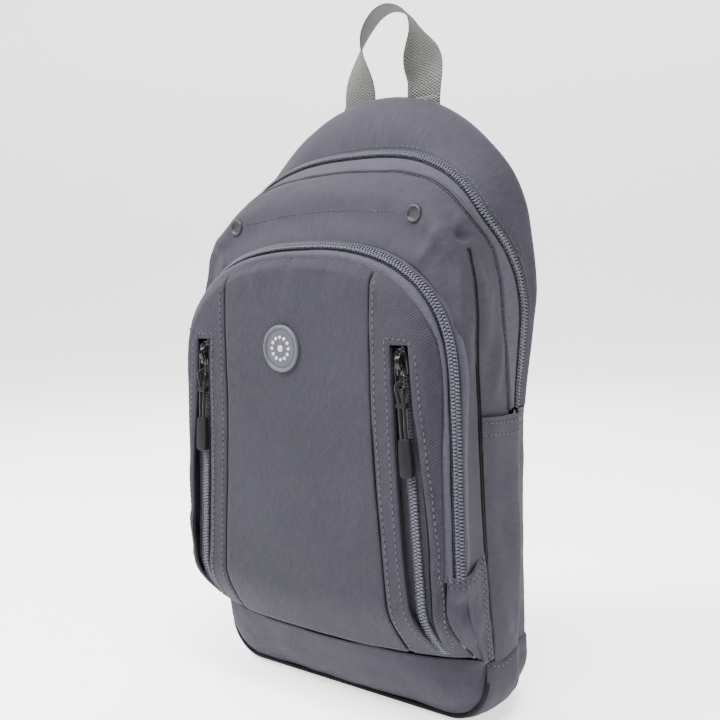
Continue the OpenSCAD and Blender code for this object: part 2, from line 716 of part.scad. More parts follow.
at_main_slider() at_tab() tab();  // tab_main
at_pocket_slider() at_tab() tab();  // tab_pocket
at_front_slider(1) at_tab() pull();  // pull_front_right
at_front_slider(-1) at_tab() pull();  // pull_front_left
at_main_slider() at_tab() pull();  // pull_main
at_pocket_slider() at_tab() pull(short_pull_len);  // pull_pocket
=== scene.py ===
"""Sling bag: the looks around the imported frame. Shapes are worked out in millimetres and built in metres."""

import json
import math

import bpy
import numpy as np
from mathutils import Matrix, Vector


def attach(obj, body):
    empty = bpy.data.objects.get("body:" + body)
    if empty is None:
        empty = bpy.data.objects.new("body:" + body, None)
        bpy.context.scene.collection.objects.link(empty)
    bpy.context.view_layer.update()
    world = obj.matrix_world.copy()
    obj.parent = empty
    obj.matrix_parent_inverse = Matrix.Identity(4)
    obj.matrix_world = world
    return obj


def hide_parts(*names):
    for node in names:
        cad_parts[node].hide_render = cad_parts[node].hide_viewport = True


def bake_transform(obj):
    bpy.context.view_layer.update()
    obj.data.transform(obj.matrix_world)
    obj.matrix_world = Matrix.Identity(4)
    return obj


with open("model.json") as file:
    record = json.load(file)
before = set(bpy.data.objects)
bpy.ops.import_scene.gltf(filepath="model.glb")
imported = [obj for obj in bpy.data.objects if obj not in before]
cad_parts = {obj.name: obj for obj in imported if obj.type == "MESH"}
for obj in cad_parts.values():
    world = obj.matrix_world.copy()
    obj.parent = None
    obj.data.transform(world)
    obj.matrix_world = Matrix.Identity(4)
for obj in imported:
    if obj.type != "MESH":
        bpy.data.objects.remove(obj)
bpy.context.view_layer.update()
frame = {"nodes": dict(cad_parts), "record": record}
MM = 0.001


# ---------- camera, light and stage ----------

def add_camera():
    place = Vector((0.39455, -0.48092, 0.25598))
    target = Vector((0.00303, -0.012, 0.20092))
    roll = math.radians(-1.55)
    back = (place - target).normalized()
    right = Vector((0, 0, 1)).cross(back).normalized()
    up = back.cross(right)
    right, up = (right * math.cos(roll) + up * math.sin(roll), up * math.cos(roll) - right * math.sin(roll))
    camera = bpy.data.objects.new("camera", bpy.data.cameras.new("camera"))
    camera.data.sensor_width = 36
    camera.data.lens = 50.63
    camera.data.clip_start = 0.01
    camera.data.clip_end = 30
    camera.matrix_world = Matrix.Translation(place) @ Matrix((right, up, back)).transposed().to_4x4()
    bpy.context.scene.collection.objects.link(camera)
    bpy.context.scene.camera = camera


def add_area_light(name, place, size, power, target=(0, 0, 0.2), tint=(1, 1, 1)):
    data = bpy.data.lights.new(name, "AREA")
    data.energy = power
    data.size = size
    data.color = tint
    light = bpy.data.objects.new(name, data)
    light.location = place
    light.rotation_euler = (Vector(target) - Vector(place)).to_track_quat("-Z", "Y").to_euler()
    bpy.context.scene.collection.objects.link(light)


def add_stage():
    world = bpy.data.worlds.new("studio")
    world.use_nodes = True
    world.node_tree.nodes["Background"].inputs["Color"].default_value = (1, 1, 1, 1)
    world.node_tree.nodes["Background"].inputs["Strength"].default_value = 0.15
    bpy.context.scene.world = world
    add_area_light("key", (-0.7, -0.85, 1.45), 0.6, 72)
    add_area_light("top", (0.35, -0.3, 1.5), 0.6, 46)
    add_area_light("side", (1.2, 0.5, 0.9), 0.5, 4)
    add_area_light("back", (-0.7, 1.0, 0.8), 0.8, 8)
    wide, near_wall, bend, height = 30.0, 2.4, 1.2, 6.0
    profile = [(-wide, 0.0)]
    profile += [(near_wall + bend * math.sin(a), bend - bend * math.cos(a)) for a in np.linspace(0, math.pi / 2, 16)]
    profile += [(near_wall + bend, height)]
    turn = Matrix.Rotation(math.radians(40), 3, "Z")
    verts = [tuple(turn @ Vector((x, y, z))) for y, z in profile for x in (-wide, wide)]
    faces = [(2 * k, 2 * k + 1, 2 * k + 3, 2 * k + 2) for k in range(len(profile) - 1)]
    mesh = bpy.data.meshes.new("floor")
    mesh.from_pydata(verts, [], faces)
    mesh.shade_smooth()
    floor = bpy.data.objects.new("floor", mesh)
    bpy.context.scene.collection.objects.link(floor)
    tree = Tree("floor_paper")
    tint = tree.ramp(tree.noise(3.0, 2.0), (0.90, 0.90, 0.905), (0.93, 0.93, 0.935))
    tree.finish(tint, roughness=0.9, Emission_Color=(1, 1, 1, 1), Emission_Strength=1.45)
    mesh.materials.append(tree.material)


# ---------- materials ----------

class Tree:
    """A procedural material. Its methods return the output socket of the node they add."""

    def __init__(self, name):
        self.material = bpy.data.materials.new(name)
        self.material.use_nodes = True
        self.nodes = self.material.node_tree.nodes
        self.links = self.material.node_tree.links
        self.shader = self.nodes["Principled BSDF"]
        self.place = self.nodes.new("ShaderNodeTexCoord").outputs["Object"]

    def add(self, kind, inputs=(), **settings):
        node = self.nodes.new(kind)
        for key, value in settings.items():
            setattr(node, key, value)
        for key, value in dict(inputs).items():
            if isinstance(value, bpy.types.NodeSocket):
                self.links.new(value, node.inputs[key])
            else:
                node.inputs[key].default_value = value
        return node

    def uv(self):
        return self.add("ShaderNodeUVMap", uv_map="weave").outputs[0]

    def turned(self, vector, degrees=0, stretch=(1, 1, 1)):
        return self.add("ShaderNodeMapping", {"Vector": vector, "Rotation": (0, 0, math.radians(degrees)),
                                              "Scale": stretch}).outputs[0]

    def noise(self, scale, detail=3.0, vector=None, rough=0.5):
        return self.add("ShaderNodeTexNoise", {"Vector": vector or self.place, "Scale": scale, "Detail": detail,
                                               "Roughness": rough}).outputs["Fac"]

    def bands(self, pitch, direction="X", vector=None, distortion=0.0, profile="SIN"):
        """Even bands, one each pitch metres along the direction."""
        return self.add("ShaderNodeTexWave", {"Vector": vector or self.uv(), "Scale": 0.1 * math.pi / pitch,
                                              "Distortion": distortion, "Detail": 1.0},
                        bands_direction=direction, wave_profile=profile).outputs["Fac"]

    def math(self, how, a, b):
        return self.add("ShaderNodeMath", {0: a, 1: b}, operation=how).outputs[0]

    def ramp(self, value, low, high, start=0.0, end=1.0):
        node = self.add("ShaderNodeValToRGB", {"Fac": value})
        node.color_ramp.elements[0].position = start
        node.color_ramp.elements[0].color = (*low, 1)
        node.color_ramp.elements[1].position = end
        node.color_ramp.elements[1].color = (*high, 1)
        return node.outputs["Color"]

    def mix(self, factor, a, b, how="MIX"):
        node = self.add("ShaderNodeMix", {"Factor": factor}, data_type="RGBA", blend_type=how)
        for socket, value in ((node.inputs[6], a), (node.inputs[7], b)):
            if isinstance(value, bpy.types.NodeSocket):
                self.links.new(value, socket)
            else:
                socket.default_value = (*value, 1)
        return node.outputs[2]

    def finish(self, color, height=None, depth=0.0002, strength=0.5, roughness=0.6, spread=0.0, **sockets):
        """Links the colour, a bump of that height field, and a roughness that wanders by spread."""
        self.links.new(color, self.shader.inputs["Base Color"])
        if spread:
            rough = self.add("ShaderNodeMapRange", {"Value": self.noise(90, 2), "To Min": roughness - spread,
                                                    "To Max": roughness + spread}).outputs[0]
            self.links.new(rough, self.shader.inputs["Roughness"])
        else:
            self.shader.inputs["Roughness"].default_value = roughness
        for key, value in sockets.items():
            self.shader.inputs[key.replace("_", " ")].default_value = value
        if height is not None:
            bump = self.add("ShaderNodeBump", {"Height": height, "Strength": strength, "Distance": depth})
            self.links.new(bump.outputs[0], self.shader.inputs["Normal"])
        return self.material


def shade(color, gain):
    return tuple(c * gain for c in color)


def cloth(name, color, pitch=0.0009, turn=45, contrast=0.10, depth=0.00016, sheen=0.03, mottle=0.09, rough=0.72):
    """Woven nylon: twill lines across the threads, slow mottling, a few slubs and paler worn ridges."""
    tree = Tree(name)
    lines = tree.bands(pitch, "X", tree.turned(tree.uv(), turn), distortion=0.6)
    threads = tree.bands(pitch * 0.5, "Y", distortion=0.4)
    weave = tree.math("ADD", tree.math("MULTIPLY", lines, 0.7), tree.math("MULTIPLY", threads, 0.3))
    slubs = tree.noise(420, 3, tree.turned(tree.uv(), 0, (1, 0.35, 1)))
    height = tree.math("ADD", weave, tree.math("MULTIPLY", slubs, 0.5))
    woven = tree.ramp(weave, shade(color, 1 - contrast), shade(color, 1 + contrast))
    woven = tree.mix(0.5, woven, tree.ramp(slubs, shade(color, 0.78), shade(color, 1.22), 0.3, 0.7))
    patches = tree.ramp(tree.noise(16, 4), shade((1, 1, 1), 1 - mottle), shade((1, 1, 1), 1 + mottle), 0.25, 0.75)
    tinted = tree.mix(1.0, woven, patches, "MULTIPLY")
    worn = tree.add("ShaderNodeNewGeometry").outputs["Pointiness"]
    edge = tree.add("ShaderNodeMapRange", {"Value": worn, "From Min": 0.51, "From Max": 0.58, "To Max": 0.22})
    tinted = tree.mix(edge.outputs[0], tinted, shade(color, 1.7))
    return tree.finish(tinted, height, depth, 0.6, rough, 0.06, Sheen_Weight=sheen, Sheen_Roughness=0.4,
                       Specular_IOR_Level=0.1)


def ribbed(name, color):
    """Webbing: weft bars in columns, each column half a bar out of step with the next."""
    tree = Tree(name)
    uv = tree.uv()
    column = tree.bands(0.0032, "X", uv)
    bars = tree.bands(0.0017, "Y", uv, distortion=0.3)
    shifted = tree.bands(0.0017, "Y", tree.add("ShaderNodeVectorMath", {0: uv, 1: (0, 0.00085, 0)}).outputs[0])
    which = tree.ramp(column, (0, 0, 0), (1, 1, 1), 0.45, 0.55)
    height = tree.mix(which, bars, shifted)
    grain = tree.noise(900, 2)
    tint = tree.ramp(height, shade(color, 0.42), shade(color, 1.3), 0.15, 0.8)
    tint = tree.mix(0.35, tint, tree.ramp(grain, shade(color, 0.75), shade(color, 1.25)))
    tint = tree.mix(1.0, tint, tree.ramp(tree.noise(30, 3), (0.9, 0.9, 0.9), (1.08, 1.08, 1.08)), "MULTIPLY")
    return tree.finish(tint, height, 0.0006, 0.9, 0.8, 0.05, Sheen_Weight=0.05)


def plastic(name, color, rough=0.35, grain=1500, depth=0.00004, **sockets):
    """Moulded or painted black and grey parts, with a fine grain, smears and paler rubbed edges."""
    tree = Tree(name)
    fine = tree.noise(grain, 2)
    tint = tree.ramp(tree.noise(70, 3), shade(color, 0.85), shade(color, 1.2))
    worn = tree.add("ShaderNodeNewGeometry").outputs["Pointiness"]
    edge = tree.add("ShaderNodeMapRange", {"Value": worn, "From Min": 0.52, "From Max": 0.6, "To Max": 0.35})
    tint = tree.mix(edge.outputs[0], tint, shade(color, 2.2))
    return tree.finish(tint, fine, depth, 0.4, rough, 0.07, **sockets)


def mesh_cloth(name, color):
    """Spacer mesh: rows of small dark holes, offset from row to row."""
    tree = Tree(name)
    holes = tree.add("ShaderNodeTexVoronoi", {"Vector": tree.uv(), "Scale": 420.0, "Randomness": 0.15})
    height = holes.outputs["Distance"]
    tint = tree.ramp(height, shade(color, 0.3), shade(color, 1.2), 0.15, 0.55)
    tint = tree.mix(1.0, tint, tree.ramp(tree.noise(24, 3), (0.85, 0.85, 0.85), (1.12, 1.12, 1.12)), "MULTIPLY")
    return tree.finish(tint, height, 0.0006, 0.7, 0.85, 0.04, Sheen_Weight=0.15)


def foam(name, color):
    tree = Tree(name)
    cells = tree.add("ShaderNodeTexVoronoi", {"Vector": tree.place, "Scale": 900.0}).outputs["Distance"]
    return tree.finish(tree.ramp(cells, shade(color, 0.6), color), cells, 0.0004, 0.6, 0.95)


GREY = (0.0290, 0.0276, 0.0366)
MATERIALS = {
    "body_nylon": cloth("body_nylon", shade(GREY, 1.06), 0.0010, 45, 0.16, 0.0002, 0.03),
    "pocket_twill": cloth("pocket_twill", shade(GREY, 0.88), 0.0014, 50, 0.42, 0.0004, 0.02),
    "base_twill": cloth("base_twill", shade(GREY, 1.0), 0.0012, 45, 0.28, 0.0003, 0.02),
    # seam_cord is near-black, a fifth of the body grey: the cords and bindings are real, but this darkness is partly
    # painted shade of the seams they lie in.
    "seam_cord": cloth("seam_cord", shade(GREY, 0.2), 0.0009, 30, 0.12),
    "air_mesh": mesh_cloth("air_mesh", shade(GREY, 0.45)),
    "foam": foam("foam", (0.66, 0.66, 0.6)),
    "board": plastic("board", (0.04, 0.04, 0.04), 0.6),
    "lining": cloth("lining", (0.07, 0.07, 0.078), 0.0006, 0, 0.08, 0.0001, 0.1),
    "zip_tape": cloth("zip_tape", shade(GREY, 1.6), 0.0013, 40, 0.3, 0.0004, 0.03, 0.05),
    "zip_coil": plastic("zip_coil", (0.052, 0.052, 0.066), 0.4, 2500, 0.00003, Specular_IOR_Level=0.25),
    "snap_metal": plastic("snap_metal", (0.018, 0.018, 0.023), 0.5, 1800, 0.00003, Specular_IOR_Level=0.3),
    "badge_rubber": plastic("badge_rubber", (0.055, 0.055, 0.068), 0.5, Specular_IOR_Level=0.25),
    "webbing": ribbed("webbing", (0.074, 0.075, 0.068)),
    "black_acetal": plastic("black_acetal", (0.004, 0.004, 0.005), 0.45, Specular_IOR_Level=0.2),
    "slider_black": plastic("slider_black", (0.003, 0.003, 0.0035), 0.24, 2500, 0.00002, Specular_IOR_Level=0.28),
    "pull_black": plastic("pull_black", (0.005, 0.005, 0.006), 0.6, Specular_IOR_Level=0.12),
}
THREAD = cloth("thread", shade(GREY, 1.75), 0.0005, 0, 0.2, 0.0001, 0.3)
THREAD_DARK = cloth("thread_dark", shade(GREY, 0.5), 0.0005, 0, 0.2, 0.0001, 0.2)
CORD = cloth("cord", (0.004, 0.004, 0.005), 0.0008, 30, 0.5, 0.0003, 0.2)
# SHADOW is the near-black cloth of painted shade: tubes in seams and under lips, and spindles in needle holes.
SHADOW = cloth("seam_shadow", shade(GREY, 0.12), 0.0009, 30, 0.1)


# ---------- curves and surfaces ----------

def smooth(t):
    c = np.clip(t, 0, 1)
    return c * c * (3 - 2 * c)


def unit(v):
    return v / np.maximum(np.linalg.norm(v, axis=-1, keepdims=True), 1e-9)


def run_of(line):
    return np.concatenate([[0], np.cumsum(np.linalg.norm(np.diff(line, axis=0), axis=1))])


def interp3(at, run, values):
    return np.stack([np.interp(at, run, values[:, k]) for k in range(values.shape[1])], -1)


def through(knots, x):
    """A smooth curve through (x, y) knots, flat beyond both ends and never overshooting between them."""
    kx, ky = np.array(knots, float).T
    slope = np.diff(ky) / np.diff(kx)
    both = slope[1:] * slope[:-1]
    tangent = np.zeros_like(ky)
    total = slope[1:] + slope[:-1]
    tangent[1:-1] = np.where(both > 0, 2 * both / np.where(total == 0, 1, total), 0)
    x = np.clip(x, kx[0], kx[-1])
    k = np.clip(np.searchsorted(kx, x) - 1, 0, len(kx) - 2)
    h = kx[k + 1] - kx[k]
    t = (x - kx[k]) / h
    return ((1 + 2 * t) * (1 - t) ** 2 * ky[k] + t * (1 - t) ** 2 * h * tangent[k]
            + t * t * (3 - 2 * t) * ky[k + 1] + t * t * (t - 1) * h * tangent[k + 1])


FOOT = 41.0
KEY_Z = 215.0


def outline(half, spring, crown, squareness):
    """Right half of an arch in x and z, from the foot up to the crown."""
    a = np.linspace(0, np.pi / 2, 900)
    x = half * np.cos(a) ** (2 / squareness)
    z = spring + (crown - spring) * np.sin(a) ** (2 / squareness)
    return np.concatenate([[half], x]), np.concatenate([[FOOT], z])


def polar_outline(half, spring, reach):
    """Right half of an arch whose distance from (0, spring) is given by angle in degrees."""
    a = np.radians(np.linspace(0, 90, 900))
    r = through(reach, np.degrees(a))
    return np.concatenate([[half], r * np.cos(a)]), np.concatenate([[FOOT], spring + r * np.sin(a)])


def arch_line(q, shape, depth, left_depth=None, left_grow=0.0):
    """Points on an arch. q is 0 at the right foot, 1 at KEY_Z, 2 at the crown, 3 at KEY_Z and 4 at the left foot."""
    x, z = shape
    run = np.concatenate([[0], np.cumsum(np.hypot(np.diff(x), np.diff(z)))])
    key = np.interp(KEY_Z, z, run)
    side = np.where(q > 2, 4 - q, q)
    at = np.where(side < 1, side * key, key + (side - 1) * (run[-1] - key))
    px, pz = np.interp(at, run, x), np.interp(at, run, z)
    px = np.where(q > 2, -px, px)
    y = through(depth, pz) if isinstance(depth, list) else np.full_like(pz, depth)
    share = smooth((px - 20) / 70)
    if left_depth is not None:
        left = through(left_depth, pz) if isinstance(left_depth, list) else np.full_like(pz, left_depth)
        y = left * (1 - share) + y * share
    px = px - left_grow * smooth(-px / 100)
    return np.stack([px, y, pz], 1)


def loft(lines, counts):
    """A grid of points on a smooth surface through the lines. counts has the rows between each two lines."""
    lines = np.array(lines, float)
    gaps = np.maximum(np.linalg.norm(np.diff(lines, axis=0), axis=2).mean(1), 1e-6)
    slope = np.diff(lines, axis=0) / gaps[:, None, None]
    inner = ((slope[1:] * gaps[:-1, None, None] + slope[:-1] * gaps[1:, None, None])
             / (gaps[1:] + gaps[:-1])[:, None, None]) if len(gaps) > 1 else slope[:0]
    tangent = np.concatenate([slope[:1], inner, slope[-1:]])
    rows = []
    for k, count in enumerate(counts):
        h = gaps[k]
        for t in np.arange(count) / count:
            rows.append((1 + 2 * t) * (1 - t) ** 2 * lines[k] + t * (1 - t) ** 2 * h * tangent[k]
                        + t * t * (3 - 2 * t) * lines[k + 1] + t * t * (t - 1) * h * tangent[k + 1])
    rows.append(lines[-1])
    return np.array(rows)


def coons(low, high, left, right):
    """A grid that fills four edges. low and high run left to right, left and right run low to high."""
    low, high, left, right = (np.array(e, float) for e in (low, high, left, right))
    u = np.linspace(0, 1, len(low))[None, :, None]
    v = np.linspace(0, 1, len(left))[:, None, None]
    return ((1 - v) * low[None] + v * high[None] + (1 - u) * left[:, None] + u * right[:, None]
            - (1 - u) * (1 - v) * low[0] - u * (1 - v) * low[-1] - (1 - u) * v * high[0] - u * v * high[-1])


def normals(grid):
    """The outward side of a grid whose rows go from the bag's back to its front and columns from right to left."""
    return unit(np.cross(np.gradient(grid, axis=1), np.gradient(grid, axis=0)))


def ripple(points, size, seed, squeeze=(1, 1, 1)):
    """Slow waves from -1 to 1 over space, about size millimetres long."""
    rng = np.random.default_rng(seed)
    total = 0
    for octave, gain in ((1, 0.55), (1.9, 0.3), (3.7, 0.15)):
        for _ in range(4):
            way = unit(rng.normal(size=3)) * np.array(squeeze)
            total = total + gain / 2 * np.sin(points @ way * 2 * np.pi * octave / size + rng.uniform(0, 6.28))
    return total


def near_line(points, line):
    """Distance from each point to a polyline, and how far along it the nearest place is, 0 to 1."""
    line = np.array(line, float)
    best = np.full(points.shape[:-1], 1e9)
    place = np.zeros(points.shape[:-1])
    run = run_of(line)
    for k in range(len(line) - 1):
        way = line[k + 1] - line[k]
        t = np.clip((points - line[k]) @ way / max(way @ way, 1e-9), 0, 1)
        far = np.linalg.norm(points - line[k] - t[..., None] * way, axis=-1)
        closer = far < best
        best = np.where(closer, far, best)
        place = np.where(closer, (run[k] + t * (run[k + 1] - run[k])) / run[-1], place)
    return best, place


def on_cloth(grid, line, count=14):
    """The line moved onto the nearest points of a grid."""
    cells = grid.reshape(-1, 3)
    run = run_of(np.array(line, float))
    line = interp3(np.linspace(0, run[-1], count), run, np.array(line, float))
    line = np.array([cells[np.argmin(((cells - p) ** 2).sum(1))] for p in line])
    for _ in range(2):
        line[1:-1] = (line[:-2] + 2 * line[1:-1] + line[2:]) / 4
    return line


def crease(grid, line, height, width, ends=0.25, out=None):
    """Lifts the grid along a line, or sinks it if height is negative, fading out at the line's ends."""
    far, place = near_line(grid, line)
    fade = smooth(place / ends) * smooth((1 - place) / ends) if ends else 1
    way = normals(grid) if out is None else np.array(out, float)
    return grid + way * (height * np.exp(-(far / width) ** 2) * fade)[..., None]


def inset(grid, far, edge):
    """The line on a grid that lies this far in from an edge, and the way off the cloth along it."""
    out = normals(grid)
    if edge in ("left", "right"):
        grid, out = grid.transpose(1, 0, 2), out.transpose(1, 0, 2)
    if edge in ("low", "right"):
        grid, out = grid[::-1], out[::-1]
    steps = np.linalg.norm(np.diff(grid, axis=0), axis=2)
    run = np.concatenate([np.zeros((1, grid.shape[1])), np.cumsum(steps, axis=0)])
    line, way = np.zeros(grid.shape[1:]), np.zeros(grid.shape[1:])
    for c in range(grid.shape[1]):
        for k in range(3):
            line[c, k] = np.interp(far, run[:, c], grid[:, c, k])
            way[c, k] = np.interp(far, run[:, c], out[:, c, k])
    return line, unit(way)


def edge_roll(grid, edge, depth=0.9, width=1.6):
    """Rolls an edge of a grid under, as a turned hem does."""
    out = normals(grid)
    view = grid.transpose(1, 0, 2) if edge in ("left", "right") else grid
    if edge in ("low", "right"):
        view = view[::-1]
    run = np.concatenate([np.zeros((1, view.shape[1])),
                          np.cumsum(np.linalg.norm(np.diff(view, axis=0), axis=2), axis=0)])
    if edge in ("low", "right"):
        run = run[::-1]
    if edge in ("left", "right"):
        run = run.T
    return grid - out * (depth * np.exp(-(run / width) ** 2))[..., None]


# ---------- meshes ----------

def piece(name, verts, faces, body, slot, replaces=(), material=None, uv=None, flat=False):
    """A mesh piece from millimetre points. uv has one pair of metres for each vertex."""
    verts = np.asarray(verts, float).reshape(-1, 3)
    mesh = bpy.data.meshes.new(name)
    mesh.from_pydata((verts * MM).tolist(), [], [tuple(map(int, f)) for f in faces])
    pairs = verts[:, [0, 2]] * MM if uv is None else np.asarray(uv, float).reshape(-1, 2)
    layer = mesh.uv_layers.new(name="weave")
    corner = np.zeros(len(mesh.loops), int)
    mesh.loops.foreach_get("vertex_index", corner)
    layer.data.foreach_set("uv", pairs[corner].ravel())
    mesh.validate()
    if not flat:
        mesh.shade_smooth()
    mesh.materials.append(material or MATERIALS[slot])
    obj = bpy.data.objects.new(name, mesh)
    bpy.context.scene.collection.objects.link(obj)
    place(obj, body, slot, replaces)
    return obj


def place(obj, body, slot, replaces=()):
    """Rides on a body; pieces of the fold and of the two fans are only baked in place and ride on none. The body fold
    means the cloth that bends from the bag into the pocket's door.
    """
    if body == "fold":
        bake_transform(obj)
    elif body in ("fan_right", "fan_left"):
        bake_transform(obj)
    else:
        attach(obj, body)
    if replaces:
        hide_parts(*replaces)


def grid_faces(rows, cols, wrap=False, start=0):
    width = cols if wrap else cols - 1
    return [(start + r * cols + c, start + r * cols + (c + 1) % cols,
             start + (r + 1) * cols + (c + 1) % cols, start + (r + 1) * cols + c)
            for r in range(rows - 1) for c in range(width)]


def capped(rows, cols, start=0):
    """Faces of a closed tube, with its two ends."""
    return (grid_faces(rows, cols, True, start) + [tuple(start + k for k in range(cols))[::-1],
                                                   tuple(start + (rows - 1) * cols + k for k in range(cols))])


def grid_uv(grid):
    """Metres along the two ways of a grid, averaged so that the weave stays even."""
    u = np.concatenate([[0], np.cumsum(np.linalg.norm(np.diff(grid, axis=1), axis=2).mean(0))])
    v = np.concatenate([[0], np.cumsum(np.linalg.norm(np.diff(grid, axis=0), axis=2).mean(1))])
    return np.stack(np.meshgrid(u, v), -1) * MM


def panel(name, grid, body, slot, thick=1.1, keep=None, uv=None, **more):
    """A cloth panel: a grid of points with its thickness laid behind it. keep(r, c) says which cells stay."""
    grid = np.asarray(grid, float)
    rows, cols = grid.shape[:2]
    back = grid - normals(grid) * thick
    uv = grid_uv(grid) if uv is None else uv
    total = rows * cols
    cells = [(r, c) for r in range(rows - 1) for c in range(cols - 1) if keep is None or keep(r, c)]
    held = set(cells)
    faces = []
    for r, c in cells:
        a, b = r * cols + c, r * cols + c + 1
        d, e = (r + 1) * cols + c, (r + 1) * cols + c + 1
        faces.append((a, b, e, d))
        faces.append((d + total, e + total, b + total, a + total))
        for p, q, there in ((a, b, (r - 1, c)), (b, e, (r, c + 1)), (e, d, (r + 1, c)), (d, a, (r, c - 1))):
            if there not in held:
                faces.append((q, p, p + total, q + total))
    used = np.unique(np.array([k for f in faces for k in f]))
    renumber = np.full(2 * total, -1)
    renumber[used] = np.arange(len(used))
    verts = np.concatenate([grid.reshape(-1, 3), back.reshape(-1, 3)])[used]
    pairs = np.concatenate([uv.reshape(-1, 2), uv.reshape(-1, 2) + 0.37])[used]
    return piece(name, verts, [renumber[list(f)] for f in faces], body, slot, uv=pairs, **more)


class Track:
    """A line over a surface with the ways along it, across it and off the cloth, for what is sewn on it."""

    def __init__(self, line, across, step=None):
        line, across = np.array(line, float), np.array(across, float)
        if step:
            run = run_of(line)
            at = np.linspace(0, run[-1], max(2, int(round(run[-1] / step)) + 1))
            line, across = interp3(at, run, line), interp3(at, run, across)
        self.line = line
        self.run = run_of(line)
        self.along = unit(np.gradient(line, axis=0))
        self.out = unit(np.cross(self.along, across))
        self.across = unit(np.cross(self.out, self.along))

    def at(self, across, out):
        return self.line + self.across * np.reshape(across, (-1, 1)) + self.out * np.reshape(out, (-1, 1))

    def grid(self, profile):
        return np.array([self.at(a, n) for a, n in profile])

    def finer(self, step):
        return Track(self.line, self.across, step)


def band(name, track, profile, body, slot, thick=0.8, **more):
    """A strip swept along a track. The profile has (across, out) points."""
    return panel(name, track.grid(profile), body, slot, thick, **more)


def bar(name, track, profile, body, slot, **more):
    """A closed section swept along a track."""
    grid = track.grid(profile).transpose(1, 0, 2)
    rows, cols = grid.shape[:2]
    around = np.linspace(0, 1, cols) * np.linalg.norm(np.diff(grid[0], axis=0), axis=1).sum()
    uv = np.stack(np.meshgrid(around, track.run), -1) * MM
    return piece(name, grid, capped(rows, cols), body, slot, uv=uv, **more)


def round_section(r, flat=1.0, count=10, lift=0.0, shift=0.0):
    a = np.linspace(0, 2 * np.pi, count, endpoint=False)
    return [(shift + r * math.cos(t), lift + r * flat * math.sin(t)) for t in a]


def tube_grid(line, radius, ref, count=8):
    """Rings of points round a line. ref is never along the line."""
    line = np.array(line, float)
    along = unit(np.gradient(line, axis=0))
    side = unit(np.cross(along, ref))
    up = np.cross(along, side)
    a = np.linspace(0, 2 * np.pi, count, endpoint=False)
    radius = np.broadcast_to(np.asarray(radius, float), (len(line),))
    return line[:, None] + radius[:, None, None] * (np.cos(a)[:, None] * side[:, None]
                                                    + np.sin(a)[:, None] * up[:, None])


class Heap:
    """Gathers many small solids into one piece."""

    def __init__(self):
        self.verts, self.faces, self.uvs, self.count = [], [], [], 0

    def add(self, verts, faces, uv=None):
        verts = np.asarray(verts, float).reshape(-1, 3)
        self.verts.append(verts)
        self.uvs.append(verts[:, [0, 2]] * MM if uv is None else np.asarray(uv, float).reshape(-1, 2))
        self.faces += [tuple(self.count + k for k in f) for f in faces]
        self.count += len(verts)

    def tube(self, line, radius, ref, count=8):
        grid = tube_grid(line, radius, ref, count)
        uv = np.stack(np.meshgrid(np.linspace(0, 6.3, count), run_of(np.array(line, float))), -1) * MM
        self.add(grid, capped(len(grid), count), uv)

    def piece(self, name, body, slot, **more):
        return piece(name, np.concatenate(self.verts), self.faces, body, slot, uv=np.concatenate(self.uvs), **more)


SEWING = {}


def spindles(heap, a, b, radius, rings=5, count=6):
    """Threads, and the painted shade in needle holes, as small spindles between pairs of points."""
    way = b - a
    along = unit(way)
    side = unit(np.cross(along, np.array([0.3, 0.5, 0.81])))
    up = np.cross(along, side)
    t = np.linspace(0, 1, rings)
    fat = radius * np.sqrt(np.clip(1 - (2 * t - 1) ** 4, 0.06, 1))
    w = np.linspace(0, 2 * np.pi, count, endpoint=False)
    grid = (a[:, None, None] + way[:, None, None] * t[None, :, None, None]
            + fat[None, :, None, None] * (np.cos(w)[None, None, :, None] * side[:, None, None]
                                          + np.sin(w)[None, None, :, None] * up[:, None, None]))
    for k in range(len(a)):
        heap.add(grid[k], capped(rings, count))


def sew(line, out, body, pitch=3.8, length=2.5, radius=0.27, lift=0.1, dark=False, hole_shade=True, span=(0, 1)):
    """A row of stitches along a line on the cloth, with a near-black spindle of painted shade in the needle hole
    between each two.
    """
    line = np.array(line, float)
    out = np.broadcast_to(np.array(out, float), line.shape)
    run = run_of(line)
    starts = np.arange(run[-1] * span[0] + pitch * 0.3, run[-1] * span[1] - length, pitch)
    if len(starts) == 0:
        return
    take = lambda at, up: interp3(at, run, line) + interp3(at, run, out) * up
    heap = SEWING.setdefault((body, "dark" if dark else "light"), Heap())
    spindles(heap, take(starts, lift), take(starts + length, lift), radius)
    # Near-black spindles between the stitches: painted shade in the needle holes.
    if hole_shade:
        pit = SEWING.setdefault((body, "pit"), Heap())
        spindles(pit, take(starts + length + 0.1, 0.0), take(starts + pitch - 0.1, 0.0), radius * 1.15, 3, 5)


def painted_shade_line(line, body, radius=0.45):
    """A near-black tube laid in a seam or under a lip: painted shade."""
    SEWING.setdefault((body, "pit"), Heap()).tube(resample_line(line, 1.6), radius, (0.31, 0.52, 0.8), 6)


def finish_sewing():
    # The heap drawn in SHADOW holds painted shade: near-black tubes in seams and under lips, and spindles in needle
    # holes.
    looks = {"light": THREAD, "dark": THREAD_DARK, "pit": SHADOW}
    for (body, look), heap in SEWING.items():
        heap.piece("stitching_%s_%s" % (look, body), body, "body_nylon", material=looks[look])


